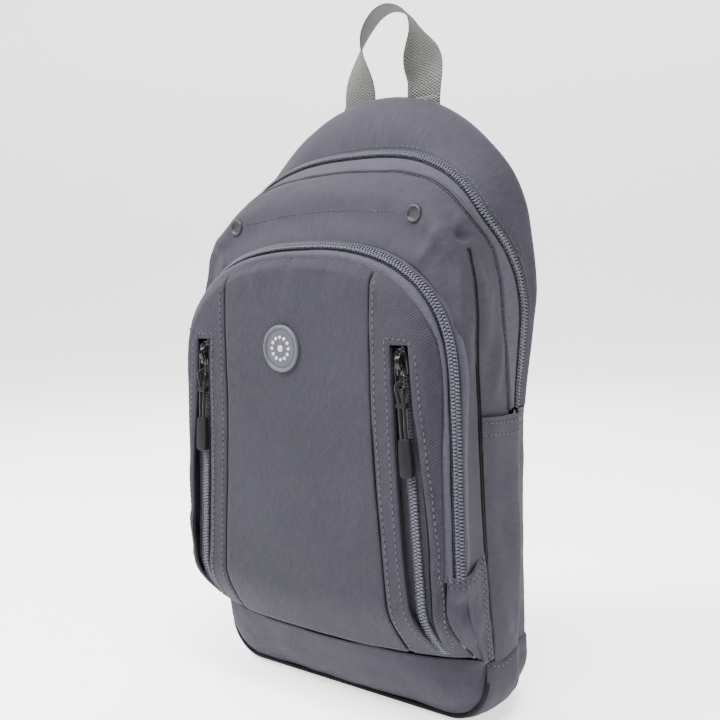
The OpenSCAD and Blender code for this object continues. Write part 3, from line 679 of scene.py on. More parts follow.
def coil(name, track, side, body, slot="zip_coil", width=2.9, high=2.3, pitch=1.9, thread=0.6, base=0.0, **more):
    """Half of a spiral zip on a track, on one side of its line, with the sewing thread over it."""
    fine = track.finer(pitch / 12)
    a = 2 * np.pi * (fine.run / pitch + (0.5 if side < 0 else 0))
    reach = np.sign(np.cos(a)) * np.abs(np.cos(a)) ** 0.6
    lift = np.sign(np.sin(a)) * np.abs(np.sin(a)) ** 0.8
    middle = width / 2 - 0.35
    path = fine.at(side * (middle - reach * (width / 2 - thread)), base + high / 2 + lift * (high / 2 - thread))
    path = path + fine.along * (0.3 * pitch * np.cos(a))[:, None]
    grid = tube_grid(path, thread, fine.along + 0.001, 6)
    uv = np.stack(np.meshgrid(np.linspace(0, 3, grid.shape[1]), fine.run), -1) * MM
    made = piece(name, grid, capped(*grid.shape[:2]), body, slot, uv=uv, **more)
    sew(track.finer(1.0).at(side * (width - 0.75), base + high - 0.1), track.finer(1.0).out, body, pitch, 1.35, 0.26,
        0.1, hole_shade=False)
    return made


# ---------- the bag's body ----------

def spaced(*stops):
    """Values that run evenly between stops given as (value, steps to the next)."""
    parts = [np.linspace(a[0], b[0], a[1], endpoint=False) for a, b in zip(stops, stops[1:])]
    return np.concatenate(parts + [[stops[-1][0]]])


Q_FULL = spaced((0, 108), (1, 100), (2, 100), (3, 108), (4, 0))
Q_TOP = Q_FULL[(Q_FULL >= 0.775) & (Q_FULL <= 3.225)]
HEM_Z = 175.0

SHAPES = {
    "back": outline(86, 222, 350, 2.3),
    "shoulder": outline(96.5, 222, 356.5, 2.4),
    "crest": polar_outline(103.8, 222, [(0, 103.8), (12, 107.6), (24.8, 114.3), (35, 121.8), (45, 127.2), (54.7, 130.2),
                                        (64.8, 133.9), (78, 137.2), (90, 138.2)]),
    "rear": polar_outline(104.6, 222, [(0, 104.6), (12, 107.6), (24.8, 113.6), (35, 119.6), (45, 124), (54.7, 126.6),
                                       (64.8, 129), (78, 131), (90, 131.6)]),
    "dome": polar_outline(104.3, 222, [(0, 104.3), (12, 106.8), (24.8, 111.6), (35, 115.4), (45, 117.4), (54.7, 117.6),
                                       (64.8, 117.2), (78, 116.2), (90, 115.8)]),
    "zip": outline(103.8, 222, 322.5, 2.7),
    "rim": outline(103.8, 222, 312.8, 3.0),
    "round": outline(104.3, 222, 308.5, 2.9),
    "corner": outline(102.3, 222, 299, 2.7),
    "strip": outline(102.4, 210, 284, 2.6),
    "pocket": outline(103.2, 190, 271, 2.5),
}
ZIP_DEPTH = [(FOOT, 10), (222, 10), (246, 7), (262, 1), (288, -13), (310, -11), (323, -8)]
RIM_DEPTH = [(FOOT, -5), (177, -5), (222, -8), (262, -12), (287, -23), (313, -21.5)]
CORNER_DEPTH = [(FOOT, -23), (75, -27), (109, -30), (147, -32), (174, -33), (207, -35), (233, -37), (254, -40),
                (272, -42.5), (299, -38)]


def zip_frame(q):
    """The main zip's track: its middle line, with across towards the bag's front."""
    line = tuck(arch_line(q, SHAPES["zip"], ZIP_DEPTH))
    return Track(line, arch_line(q, SHAPES["rim"], RIM_DEPTH) - line)


def build_dome():
    q = Q_TOP
    track = zip_frame(q)
    lines = [arch_line(q, SHAPES["back"], 29.6),
             arch_line(q, SHAPES["shoulder"], [(222, 28.6), (356, 27.6)]),
             arch_line(q, SHAPES["crest"], [(222, 23.5), (300, 21), (360, 19.5)]),
             arch_line(q, SHAPES["rear"], [(177, 17.5), (222, 17.5), (290, 8), (353, 7.5)]),
             arch_line(q, SHAPES["dome"], [(177, 14.6), (222, 14.6), (262, 7), (290, -4), (337, -2.2)]),
             track.at(-4.3, 1.3), track.at(-3.5, 0.3)]
    grid = loft([tuck(line) for line in lines[:5]] + lines[5:], [7, 7, 8, 10, 8, 2])
    out = normals(grid)
    z = grid[..., 2]
    loose = smooth((z - 225) / 60)
    grid = grid + out * (0.55 * loose * ripple(grid, 85, 3, (1, 1, 0.7)))[..., None]
    for start, end, height, width in (
            ((-82, 6, 292), (-28, 4, 344), 0.9, 6), ((-70, 2, 292), (-20, 0, 330), -0.7, 6),
            ((-60, -6, 300), (-14, -2, 326), 0.7, 5), ((60, 0, 322), (96, 10, 262), 0.7, 6),
            ((44, 0, 330), (84, -2, 290), -0.6, 6), ((78, 8, 318), (103, 16, 250), -0.6, 6),
            ((10, -2, 344), (66, -2, 322), 0.5, 8)):
        grid = crease(grid, [start, ((start[0] + end[0]) / 2 + 2, (start[1] + end[1]) / 2, (start[2] + end[2]) / 2 + 3), end],
                      height, width)
    panel("dome_cloth", grid, "bag", "body_nylon", replaces=["rear_gusset"])
    line, out = inset(grid, 3.4, "low")
    sew(line, out, "bag", hole_shade=False, lift=0.0, radius=0.2)
    lip = Track(arch_line(q, SHAPES["zip"], ZIP_DEPTH), track.across)
    bar("dome_lip", Track(track.at(-3.6, 0.9), track.across), round_section(0.75, 1.1, 8), "bag", "body_nylon")
    # A near-black tube under the dome's lip: painted shade.
    painted_shade_line(track.at(-3.1, 0.75), "bag", 0.5)
    band("main_tape_behind", track, [(-9, -1.2), (-6, -0.9), (-3.2, -0.2), (-0.6, 0)], "bag", "zip_tape", 0.5,
         replaces=["main_zip_tape_rear"])
    back_line, back_out = inset(grid, 1.0, "high")
    tube = Heap()
    tube.tube(resample_line(back_line + np.array([0, 1.0, 0]), 2.0), 1.35, (0, 1, 0.01), 8)
    tube.piece("back_binding", "bag", "seam_cord")
    return grid


def resample_line(line, step):
    line = np.array(line, float)
    run = run_of(line)
    return interp3(np.linspace(0, run[-1], max(2, int(round(run[-1] / step)) + 1)), run, line)


def build_main_zip():
    track = zip_frame(Q_TOP)
    rim = arch_line(Q_TOP, SHAPES["rim"], RIM_DEPTH)
    reach = np.linalg.norm(rim - track.line, axis=1)
    rows = [track.at(0.6, 0)] + [track.at(0.6 + (reach + 1.5 - 0.6) * t, 0.35 * math.sin(math.pi * t) - 0.9 * t ** 3)
                                 for t in np.linspace(0.1, 1, 9)]
    tape = np.array(rows)
    panel("main_tape_front", tape, "bag", "zip_tape", 0.5, replaces=["main_zip_tape_front"])
    # A near-black tube beside the front of the coil: painted shade.
    painted_shade_line(track.at(3.25, 0.15), "bag", 0.4)
    coil("main_coil_front", track, 1, "bag", replaces=["main_zip_coil"])
    coil("main_coil_rear", track, -1, "bag")
    return track, rim


def build_front():
    """The cloth in front of the main zip: it runs over the corner and down to the pocket's zip."""
    q = Q_FULL
    lines = [arch_line(q, SHAPES["rim"], RIM_DEPTH),
             arch_line(q, SHAPES["round"], [(FOOT, -14), (177, -17), (222, -20), (262, -25), (285, -31), (309, -30)]),
             arch_line(q, SHAPES["corner"], CORNER_DEPTH),
             arch_line(q, SHAPES["strip"], [(FOOT, -29), (88, -42), (190, -44), (240, -46), (284, -42)]),
             arch_line(q, SHAPES["pocket"], [(FOOT, -34), (70, -46), (90, -50), (190, -51), (240, -50), (271, -48.5)],
                       [(FOOT, -34), (70, -44), (90, -47), (190, -47), (240, -47), (271, -48.5)])]
    counts = [9, 11, 10, 8]
    grid = loft(lines, counts)
    corner_row = counts[0] + counts[1]
    z = grid[..., 2]
    x = grid[..., 0]
    upper = smooth((z - 225) / 50)
    grid = grid + normals(grid) * (0.7 * upper * ripple(grid, 60, 11) + 0.25 * ripple(grid, 28, 12))[..., None]
    for side in (1, -1):
        # The dart: a sharp fold down the corner from a puckered dimple, with a ridge leading to it.
        for points, height, width in (
                (((88, -40, 281), (81, -44, 268), (70, -47, 254)), 2.6, 4.2), (((90, -34, 285), (96, -31, 278)), 1.4, 4),
                (((91, -37, 275), (97, -33, 269)), -3.4, 3.4), (((88, -41, 262), (92, -41, 240), (96, -42, 222)), -1.6, 5),
                (((99, -31, 263), (103, -30, 240), (104, -29, 215)), 0.9, 2.6)):
            line = on_cloth(grid, [(side * x, y, z) for x, y, z in points])
            grid = crease(grid, line, height, width, 0.3)
        grid = crease(grid, [(side * 90, -45, 268), (side * 93, -47, 250), (side * 98, -47, 226)], -1.4, 6, 0.3)
        grid = crease(grid, [(side * 104, -30, 262), (side * 105, -26, 238), (side * 105, -24, 205)], 1.1, 5, 0.3)
        grid = crease(grid, [(side * 104, -20, 246), (side * 105, -22, 214), (side * 104.5, -29, 184)], -0.9, 5, 0.3)
        grid = crease(grid, [(side * 105, -10, 225), (side * 105, -16, 200), (side * 104, -26, 180)], 0.8, 4, 0.3)
        grid = crease(grid, [(side * 103, -36, 240), (side * 103, -42, 215), (side * 103, -44, 190)], 0.9, 4, 0.3)
        corner = arch_line(q, SHAPES["corner"], CORNER_DEPTH)
        mine = corner[(np.sign(corner[:, 0]) == side) & (corner[:, 2] < 205) & (corner[:, 2] > 60)]
        mine = mine[np.argsort(-mine[:, 2])]
        fold = [(side * 97.5, -34.5, 265), (side * 100.5, -34, 250), (side * 102, -34, 228)]
        fold = np.concatenate([on_cloth(grid, fold + [tuple(mine[0])]), mine[1:]])
        grid = crease(grid, fold, -1.8, 1.1, 0)
        # A near-black tube down the corner fold: painted shade in the crease.
        painted_shade_line(fold[:-4] + np.array([0, 1.0, 0]), "bag", 0.5)
    mid = crease(grid, [(-90, -38, 292), (0, -30, 307), (90, -38, 292)], -0.5, 4, 0.1)
    grid = mid
    grid = edge_roll(grid, "high", 0.9, 1.2)
    foot_rows = lambda r, c: not (r < corner_row and z[r, c] < HEM_Z - 5)
    panel("front_cloth", grid, "bag", "body_nylon", keep=foot_rows, replaces=["front_gusset"])
    top = (q >= 0.775) & (q <= 3.225)
    view = grid[:, top]
    line, out = inset(view, 3.6, "high")
    sew(line, out, "bag", pitch=3.2, length=1.9, lift=0.12, radius=0.42, dark=True)
    rim = Track(view[0], view[3] - view[0])
    # Near-black tubes along both sides of the rim fold: painted shade.
    painted_shade_line(rim.at(-1.2, -0.3), "bag", 0.5)
    painted_shade_line(rim.at(1.9, 0.25), "bag", 0.35)
    bar("rim_fold", Track(rim.at(0.4, 0.3), rim.across), round_section(1.55, 0.85, 12), "bag", "body_nylon",
        replaces=["main_edge_fold"])
    snaps(grid, q)
    return grid, corner_row


def snaps(grid, q):
    """Two snap caps joined by one fine row of stitches, arched a little."""
    half = len(q) // 2
    spots = []
    for side, x, z in ((1, 67, 284.5), (-1, -69, 283)):
        cells = grid[4:, :].reshape(-1, 3)
        out = normals(grid)[4:, :].reshape(-1, 3)
        near = np.argmin(np.hypot(cells[:, 0] - x, cells[:, 2] - z))
        spots.append((cells[near], unit(out[near] * np.array([0.6, 1, 0.6]))))
        turned_part("snap_" + ("right" if side > 0 else "left"), cells[near], unit(out[near] * np.array([0.6, 1, 0.6])),
                    [(0, 0.15), (1.4, 0.15), (2.8, 0.2), (3.2, 0.3), (3.55, 1.0), (4.0, 1.4), (4.5, 1.35), (4.95, 0.8),
                     (5.05, 0.2), (5.1, -0.6)],
                    "bag", "snap_metal", replaces=["rivet_right" if side > 0 else "rivet_left"])
    a, b = spots[1][0], spots[0][0]
    flat_grid = grid[3:].reshape(-1, 3)
    flat_out = normals(grid)[3:].reshape(-1, 3)
    line, way = [], []
    for t in np.linspace(0.045, 0.955, 90):
        target = a + (b - a) * t
        target_z = target[2] + 5.5 * math.sin(math.pi * t)
        far = np.hypot(flat_grid[:, 0] - target[0], flat_grid[:, 2] - target_z)
        pick = np.argsort(far)[:4]
        share = 1 / (far[pick] + 0.05)
        share = share / share.sum()
        line.append((flat_grid[pick] * share[:, None]).sum(0))
        way.append(flat_out[pick[0]])
    line = np.array(line)
    for _ in range(6):
        line[1:-1] = (line[:-2] + 2 * line[1:-1] + line[2:]) / 4
    sew(line, np.array(way), "bag", pitch=2.6, length=1.7, radius=0.2, lift=0.12)


def turned_part(name, centre, axis, profile, body, slot, count=40, **more):
    """A part turned round an axis. The profile has (radius, height) points from the middle out."""
    axis = unit(np.array(axis, float))
    side = unit(np.cross(axis, (0.1, 0.2, 1)))
    up = np.cross(axis, side)
    w = np.linspace(0, 2 * np.pi, count, endpoint=False)
    verts, faces = [np.array(centre) + axis * profile[0][1]], []
    for r, h in profile[1:]:
        verts += list(np.array(centre) + axis * h + r * (np.cos(w)[:, None] * side + np.sin(w)[:, None] * up))
    faces += [(0, 1 + k, 1 + (k + 1) % count) for k in range(count)]
    for ring in range(len(profile) - 2):
        start = 1 + ring * count
        faces += [(start + k, start + count + k, start + count + (k + 1) % count, start + (k + 1) % count)
                  for k in range(count)]
    last = 1 + (len(profile) - 2) * count
    faces.append(tuple(last + k for k in range(count))[::-1])
    return piece(name, np.array(verts), faces, body, slot, **more)


def side_line(side, z):
    """The section of the bag's side at one height, from the front corner round to the back seam."""
    front = through(CORNER_DEPTH, np.array([z]))[0]
    full = through([(31, -3.2), (40, -1.0), (85, 1.0)], np.array([z]))[0]
    points = [(102.6 + 0.4 * min(full, 0), front + 0.6), (104.3 + 0.9 * full, front + 7), (104.6 + 1.6 * full, front + 20),
              (104.2 + 1.4 * full, 8), (103.4 + 0.5 * full, 18), (101.5, 24.5), (96.5, 28.4), (87.5, 29.8)]
    return np.array([(side * x, y, z) for x, y in points])


def tuck(points):
    """Rounds the bag's back corners off towards the back seam, from the dome's foot down."""
    x, y, z = points[..., 0], points[..., 1], points[..., 2]
    start = np.where(x > 0, smooth((y + 2) / 16), smooth((y - 12) / 8))
    share = smooth((240 - z) / 75) * start * smooth((np.abs(x) - 86.5) / 9)
    return points - np.stack([6 * share * np.sign(x), 3 * share, 0 * share], -1)


def build_sides():
    for side, word in ((1, "right"), (-1, "left")):
        levels = np.concatenate([np.linspace(31, 165, 74), np.linspace(166.5, HEM_Z + 0.5, 7)])
        columns = np.array([side_line(side, z) for z in levels])
        grid = loft(columns.transpose(1, 0, 2), [5, 8, 14, 7, 5, 5, 6])
        if side > 0:
            grid = grid[::-1]
        else:
            grid = grid[::-1, ::-1]
        z = grid[..., 2]
        y = grid[..., 1]
        sag = 1.4 * np.exp(-((y + 8) / 16) ** 2)
        grid[..., 2] = z - sag * smooth((z - 120) / 50)
        grid = tuck(grid)
        out = normals(grid)
        grid = grid + out * (0.5 * ripple(grid, 70, 21 + side) + 0.15 * ripple(grid, 24, 5))[..., None]
        for a, b, height, width in (((-24, 168), (-14, 60), -0.7, 7), ((16, 160), (12, 70), -1.1, 4), ((20, 150), (21, 60), 0.7, 3),
                                    ((-8, 150), (-2, 90), 0.7, 8), ((-18, 58), (-2, 44), 0.6, 4)):
            grid = crease(grid, [(side * 105, a[0], a[1]), (side * 105.5, (a[0] + b[0]) / 2 + 1, (a[1] + b[1]) / 2),
                                 (side * 104.5, b[0], b[1])], height, width)
        top_edge = "right" if side < 0 else "right"
        grid = grid + out * (0.8 * smooth((z - 150) / 25))[..., None]
        hem_edge = "left" if abs(grid[0, 0, 2] - HEM_Z) < 6 else "right"
        low_edge = "right" if hem_edge == "left" else "left"
        grid = edge_roll(grid, low_edge, 0.8, 1.2)
        panel("slip_pocket_cloth_" + word, grid, "bag", "body_nylon", 1.0, replaces=["slip_pocket_" + word])
        body_rows = int(grid.shape[0] * 0.20)
        for far in (3.0, 9.5):
            line, way = inset(grid, far, hem_edge)
            sew(line[body_rows // 3:], way[body_rows // 3:], "bag", pitch=3.7, length=2.3)
        line, way = inset(grid, 0.4, hem_edge)
        heap = Heap()
        heap.tube(line - way * 0.5, 0.8, (0, 0, 1), 8)
        heap.piece("slip_hem_" + word, "bag", "body_nylon")
        inner = grid - out * 2.4
        inner[..., 2] += 16 * smooth((grid[..., 2] - 150) / 24) * smooth((grid[..., 1] - 9) / 5)
        inner = inner[:, ::2]
        panel("side_cloth_" + word, inner, "bag", "lining", 0.8, replaces=["side_panel_" + word])


def fill_grid(rows, edge_from, edge_to):
    """Straight rows between two lines."""
    return np.array([edge_from * (1 - t) + edge_to * t for t in np.linspace(0, 1, rows)])


def boot_outline(count=130, inner=0.0, radius=28.0):
    """The base's outline in x and z, from its right top edge down, along the floor and up to the left."""
    half = 103.6 - inner
    r = radius - inner
    foot = inner
    pts = [(half, t) for t in np.linspace(FOOT, foot + r, 7)[:-1]]
    pts += [(half - r + r * math.cos(a), foot + r - r * math.sin(a)) for a in np.linspace(0, math.pi / 2, 26)]
    right = np.array(pts)
    flat = np.stack([np.linspace(right[-1, 0], -right[-1, 0], 100), np.full(100, foot)], 1)[1:-1]
    return np.concatenate([right, flat, right[::-1] * np.array([-1, 1])])


def build_base():
    """The boot wraps the sides, the bottom and the back; the band leans out in front to the pocket's door."""
    rim_line = boot_outline()
    count = len(rim_line)
    to_mid = np.array([0, 60.0])
    x, z = rim_line.T
    inward = unit(np.stack([-np.sign(x) * smooth((np.abs(x) - 60) / 43), smooth((50 - z) / 20) + 0.01], 1))
    def ring(y, pull, sag=0.0):
        lift = pull * inward
        base = np.stack([x + lift[:, 0], np.full(count, y), z + lift[:, 1] * smooth((45 - z) / 12)], 1)
        base[:, 1] -= sag
        return base
    front_y = -25.0 - 2.0 * smooth((z - 5) / 40) * 0
    grid = loft([ring(-27.2, 5.6), ring(-27.8, 3.8), ring(-26.2, 2.2), ring(-18, 0.2), ring(0, -0.3), ring(18, 0.1), ring(25.5, 2.4),
                 ring(29.4, 7.5)], [3, 3, 6, 10, 10, 6, 5])
    grid[..., 2] = np.maximum(grid[..., 2], 0.25)
    high = smooth((grid[..., 2] - 2) / 14)
    grid = grid + normals(grid) * (0.5 * high * ripple(grid, 55, 31) + 0.2 * high * ripple(grid, 20, 32))[..., None]
    # The top edge dips at the front corners and rises to the back.
    y = grid[..., 1]
    near_top = smooth((grid[..., 2] - 30) / 10)
    grid[..., 2] += near_top * (0.5 - 3.5 * np.exp(-((y + 16) / 9) ** 2) - 0.5 * smooth((y + 4) / 30))
    grid = tuck(grid)
    grid = edge_roll(grid, "left", 0.8, 1.0)
    grid = edge_roll(grid, "right", 0.8, 1.0)
    panel("boot_cloth", grid, "bag", "base_twill", 1.6, replaces=["base_boot"])
    for edge in ("left", "right"):
        line, out = inset(grid, 3.2, edge)
        sew(line, out, "bag", pitch=3.8, length=2.4)
    back = grid[-1]
    inner = back * np.array([0.55, 1, 1]) + np.array([0, 0, 9.0])
    inner[:, 2] = np.minimum(inner[:, 2], 44)
    panel("boot_back", loft([back, (back + inner) / 2 + np.array([0, 0.3, 0]), inner], [4, 4]), "bag", "base_twill", 1.2)

    # The welted cord: down the front corners and all round the base's front edge.
    seam = piping_line()
    cord = Heap()
    cord.tube(resample_line(seam, 1.6), 1.75, (0, 1, 0.02), 10)
    cord.piece("base_welt", "bag", "seam_cord", replaces=["base_piping"])
    # Thin near-black cords down the front corners: a real seam cord, darkened as painted shade of the corner seam.
    for side in (1, -1):
        thin = Heap()
        zs = np.linspace(44, 268, 150)
        corner = arch_line(Q_FULL, SHAPES["corner"], CORNER_DEPTH)
        mine = corner[(np.sign(corner[:, 0]) == side)]
        mine = mine[np.argsort(mine[:, 2])]
        mine = mine[(mine[:, 2] > 42) & (mine[:, 2] < 204)]
        radius = 0.35 + 0.75 * smooth((200 - mine[:, 2]) / 150)
        thin.tube(mine + np.array([side * -0.35, -0.3, 0]), radius, (0, 1, 0.02), 8)
        thin.piece("corner_cord_" + ("right" if side > 0 else "left"), "bag", "seam_cord")

    # The band, from the cord up to the door's hem.
    q = np.linspace(0, 1, 150)
    low = interp3(q * run_of(seam)[-1], run_of(seam), seam)
    xs = low[:, 0]
    low = low + np.array([0, 0.2, 0])
    top_x = through([(-103.5, -101), (0, 0), (103.5, 101)], xs) * 1.0
    top_x = np.sign(xs) * np.interp(np.abs(np.linspace(-1, 1, len(xs))), [0, 1], [0, 101])
    top = np.stack([top_x, -53.5 + 21.5 * (np.abs(top_x) / 101) ** 2.6, 42.4 + 0 * top_x], 1)
    mid1 = low * 0.62 + top * 0.38 + np.array([0, -2.6, -1.6])
    mid2 = low * 0.25 + top * 0.75 + np.array([0, -1.8, -0.9])
    band_grid = loft([low, mid1, mid2, top], [7, 7, 5])[::-1]
    band_grid = band_grid + normals(band_grid) * (0.5 * ripple(band_grid, 60, 41) + 0.2 * ripple(band_grid, 26, 42))[..., None]
    for start, end, height in (((88, -30, 14), (70, -48, 34), 0.8), ((60, -30, 6), (52, -46, 30), -0.6),
                               ((-20, -28, 6), (-40, -46, 28), 0.5), ((20, -28, 6), (34, -48, 30), 0.5),
                               ((-80, -30, 12), (-66, -46, 32), -0.6), ((101, -28, 22), (92, -38, 38), -0.9)):
        band_grid = crease(band_grid, [start, end], height, 6, 0.35)
    band_grid = edge_roll(band_grid, "low", 0.6, 1.0)
    panel("band_cloth", band_grid, "bag", "base_twill", 1.2, replaces=["base_band"])
    return grid, band_grid


def piping_line():
    """The seam round the base's front edge."""
    shape = boot_outline(inner=3.6, radius=28.4)
    x, z = shape.T
    y = -27.2 + 3.4 * smooth((z - 20) / 22)
    return np.stack([x, y, z], 1)


# ---------- the front pocket ----------

SEAM_TOP, SLOT_TOP, SLOT_FOOT = 190.0, 216.0, 50.0
DOOR_LOW = 43.5


def door_edge_half(side):
    return 96.6 if side > 0 else 99.6


def door_top(x):
    half = np.where(x > 0, 97.2, 100.0)
    return 190 + 73.5 * np.clip(1 - (np.abs(x) / half) ** 2.5, 0, 1) ** 0.4


def seam_at(z):
    return 55.5 + 9 * smooth((190 - z) / 160)


def zip_at(z):
    return 75 + 11 * (SLOT_TOP - z) / (SLOT_TOP - 52)


def door_y(x, z):
    """The face of the door, puffed a little and rolled back near its arched edge."""
    half = np.where(x > 0, 97.2, 100.0)
    r = np.clip(np.abs(x) / half, 0, 1)
    up = np.clip((z - 190) / 73.5, 0, 1)
    to_edge = np.where(z > 190, (r ** 2.5 + up ** 2.5) ** 0.4, r)
    face = -66 + 5 * np.clip((np.abs(x) - 89) / 10.5, 0, 1.1) ** 2
    fall = smooth((78 - z) / 62)
    face = face + fall * (20 + 26 * r ** 2.4)
    roll = 4.6 * smooth((to_edge - 0.91) / 0.1) * smooth((z - 150) / 60)
    slant = np.where(x > 0, 2.0 * smooth((r - 0.86) / 0.14), 0)
    puff = -2.2 * (1 - np.clip(to_edge, 0, 1) ** 4) * (1 - fall)
    return face + roll + slant + puff


def door_point(x, z):
    return np.stack([x, door_y(x, z), z], -1)


def door_cloth(points, seed, strength=1.0):
    """Slow slack in the door's cloth."""
    grid = points
    return grid + normals(grid) * (strength * (0.45 * ripple(grid, 80, seed) + 0.16 * ripple(grid, 30, seed + 1)))[..., None]


def build_door():
    cols, rows = 66, 150
    u = np.linspace(1, -1, cols)
    v = np.linspace(1, 0, rows)
    z_side = None
    grid = np.zeros((rows, cols, 3))
    for r, t in enumerate(v):
        guess = DOOR_LOW + t * 215
        half = seam_at(guess)
        x = u * half
        z = DOOR_LOW + (door_top(x) - DOOR_LOW) * t
        x = u * seam_at(z)
        z = DOOR_LOW + (door_top(x) - DOOR_LOW) * t
        grid[r] = door_point(x, z)
    grid = door_cloth(grid, 51, 1.0)
    for start, end, height, width in (((-30, 262), (-26, 236), 0.7, 5), ((6, 262), (2, 232), 0.6, 5), ((30, 260), (20, 238), -0.6, 5),
                                      ((-8, 262), (-12, 240), -0.6, 5), ((44, 256), (36, 236), 0.5, 4), ((-46, 256), (-40, 240), 0.5, 4),
                                      ((-40, 120), (30, 70), 0.7, 14), ((50, 150), (40, 90), 0.6, 8)):
        grid = crease(grid, [(start[0], -66, start[1]), (end[0], -68, end[1])], height, width, 0.3)
    for edge in ("high", "left", "right", "low"):
        grid = edge_roll(grid, edge, 0.8, 1.3)
    # Near-black tubes along the door's side seams: painted shade.
    for edge in ("left", "right"):
        line, out = inset(grid, 0.1, edge)
        painted_shade_line((line + out * 0.25)[2:-2], "fold", 0.42)
    grid = pucker(grid, 61)
    panel("centre_panel", grid, "fold", "pocket_twill", 1.1, uv=grid[..., [0, 2]] * MM, replaces=["door_centre_panel"])
    side_grids = {}
    for side, word in ((1, "right"), (-1, "left")):
        side_grids[side] = build_door_side(side, word)
    return grid, side_grids


def pucker(grid, seed, depth=0.55, reach=7.0):
    """Small gathers along the top edge, where the cloth is sewn to the zip."""
    rng = np.random.default_rng(seed)
    view = grid
    run = np.concatenate([np.zeros((1, view.shape[1])), np.cumsum(np.linalg.norm(np.diff(view, axis=0), axis=2), axis=0)])
    along = run_of(grid[0])
    wave = sum(g * np.sin(along * 2 * np.pi / p + rng.uniform(0, 6.28)) for p, g in ((9.5, 0.5), (6.1, 0.3), (15, 0.5)))
    return grid + normals(grid) * (depth * wave[None, :] * np.exp(-run / reach))[..., None]


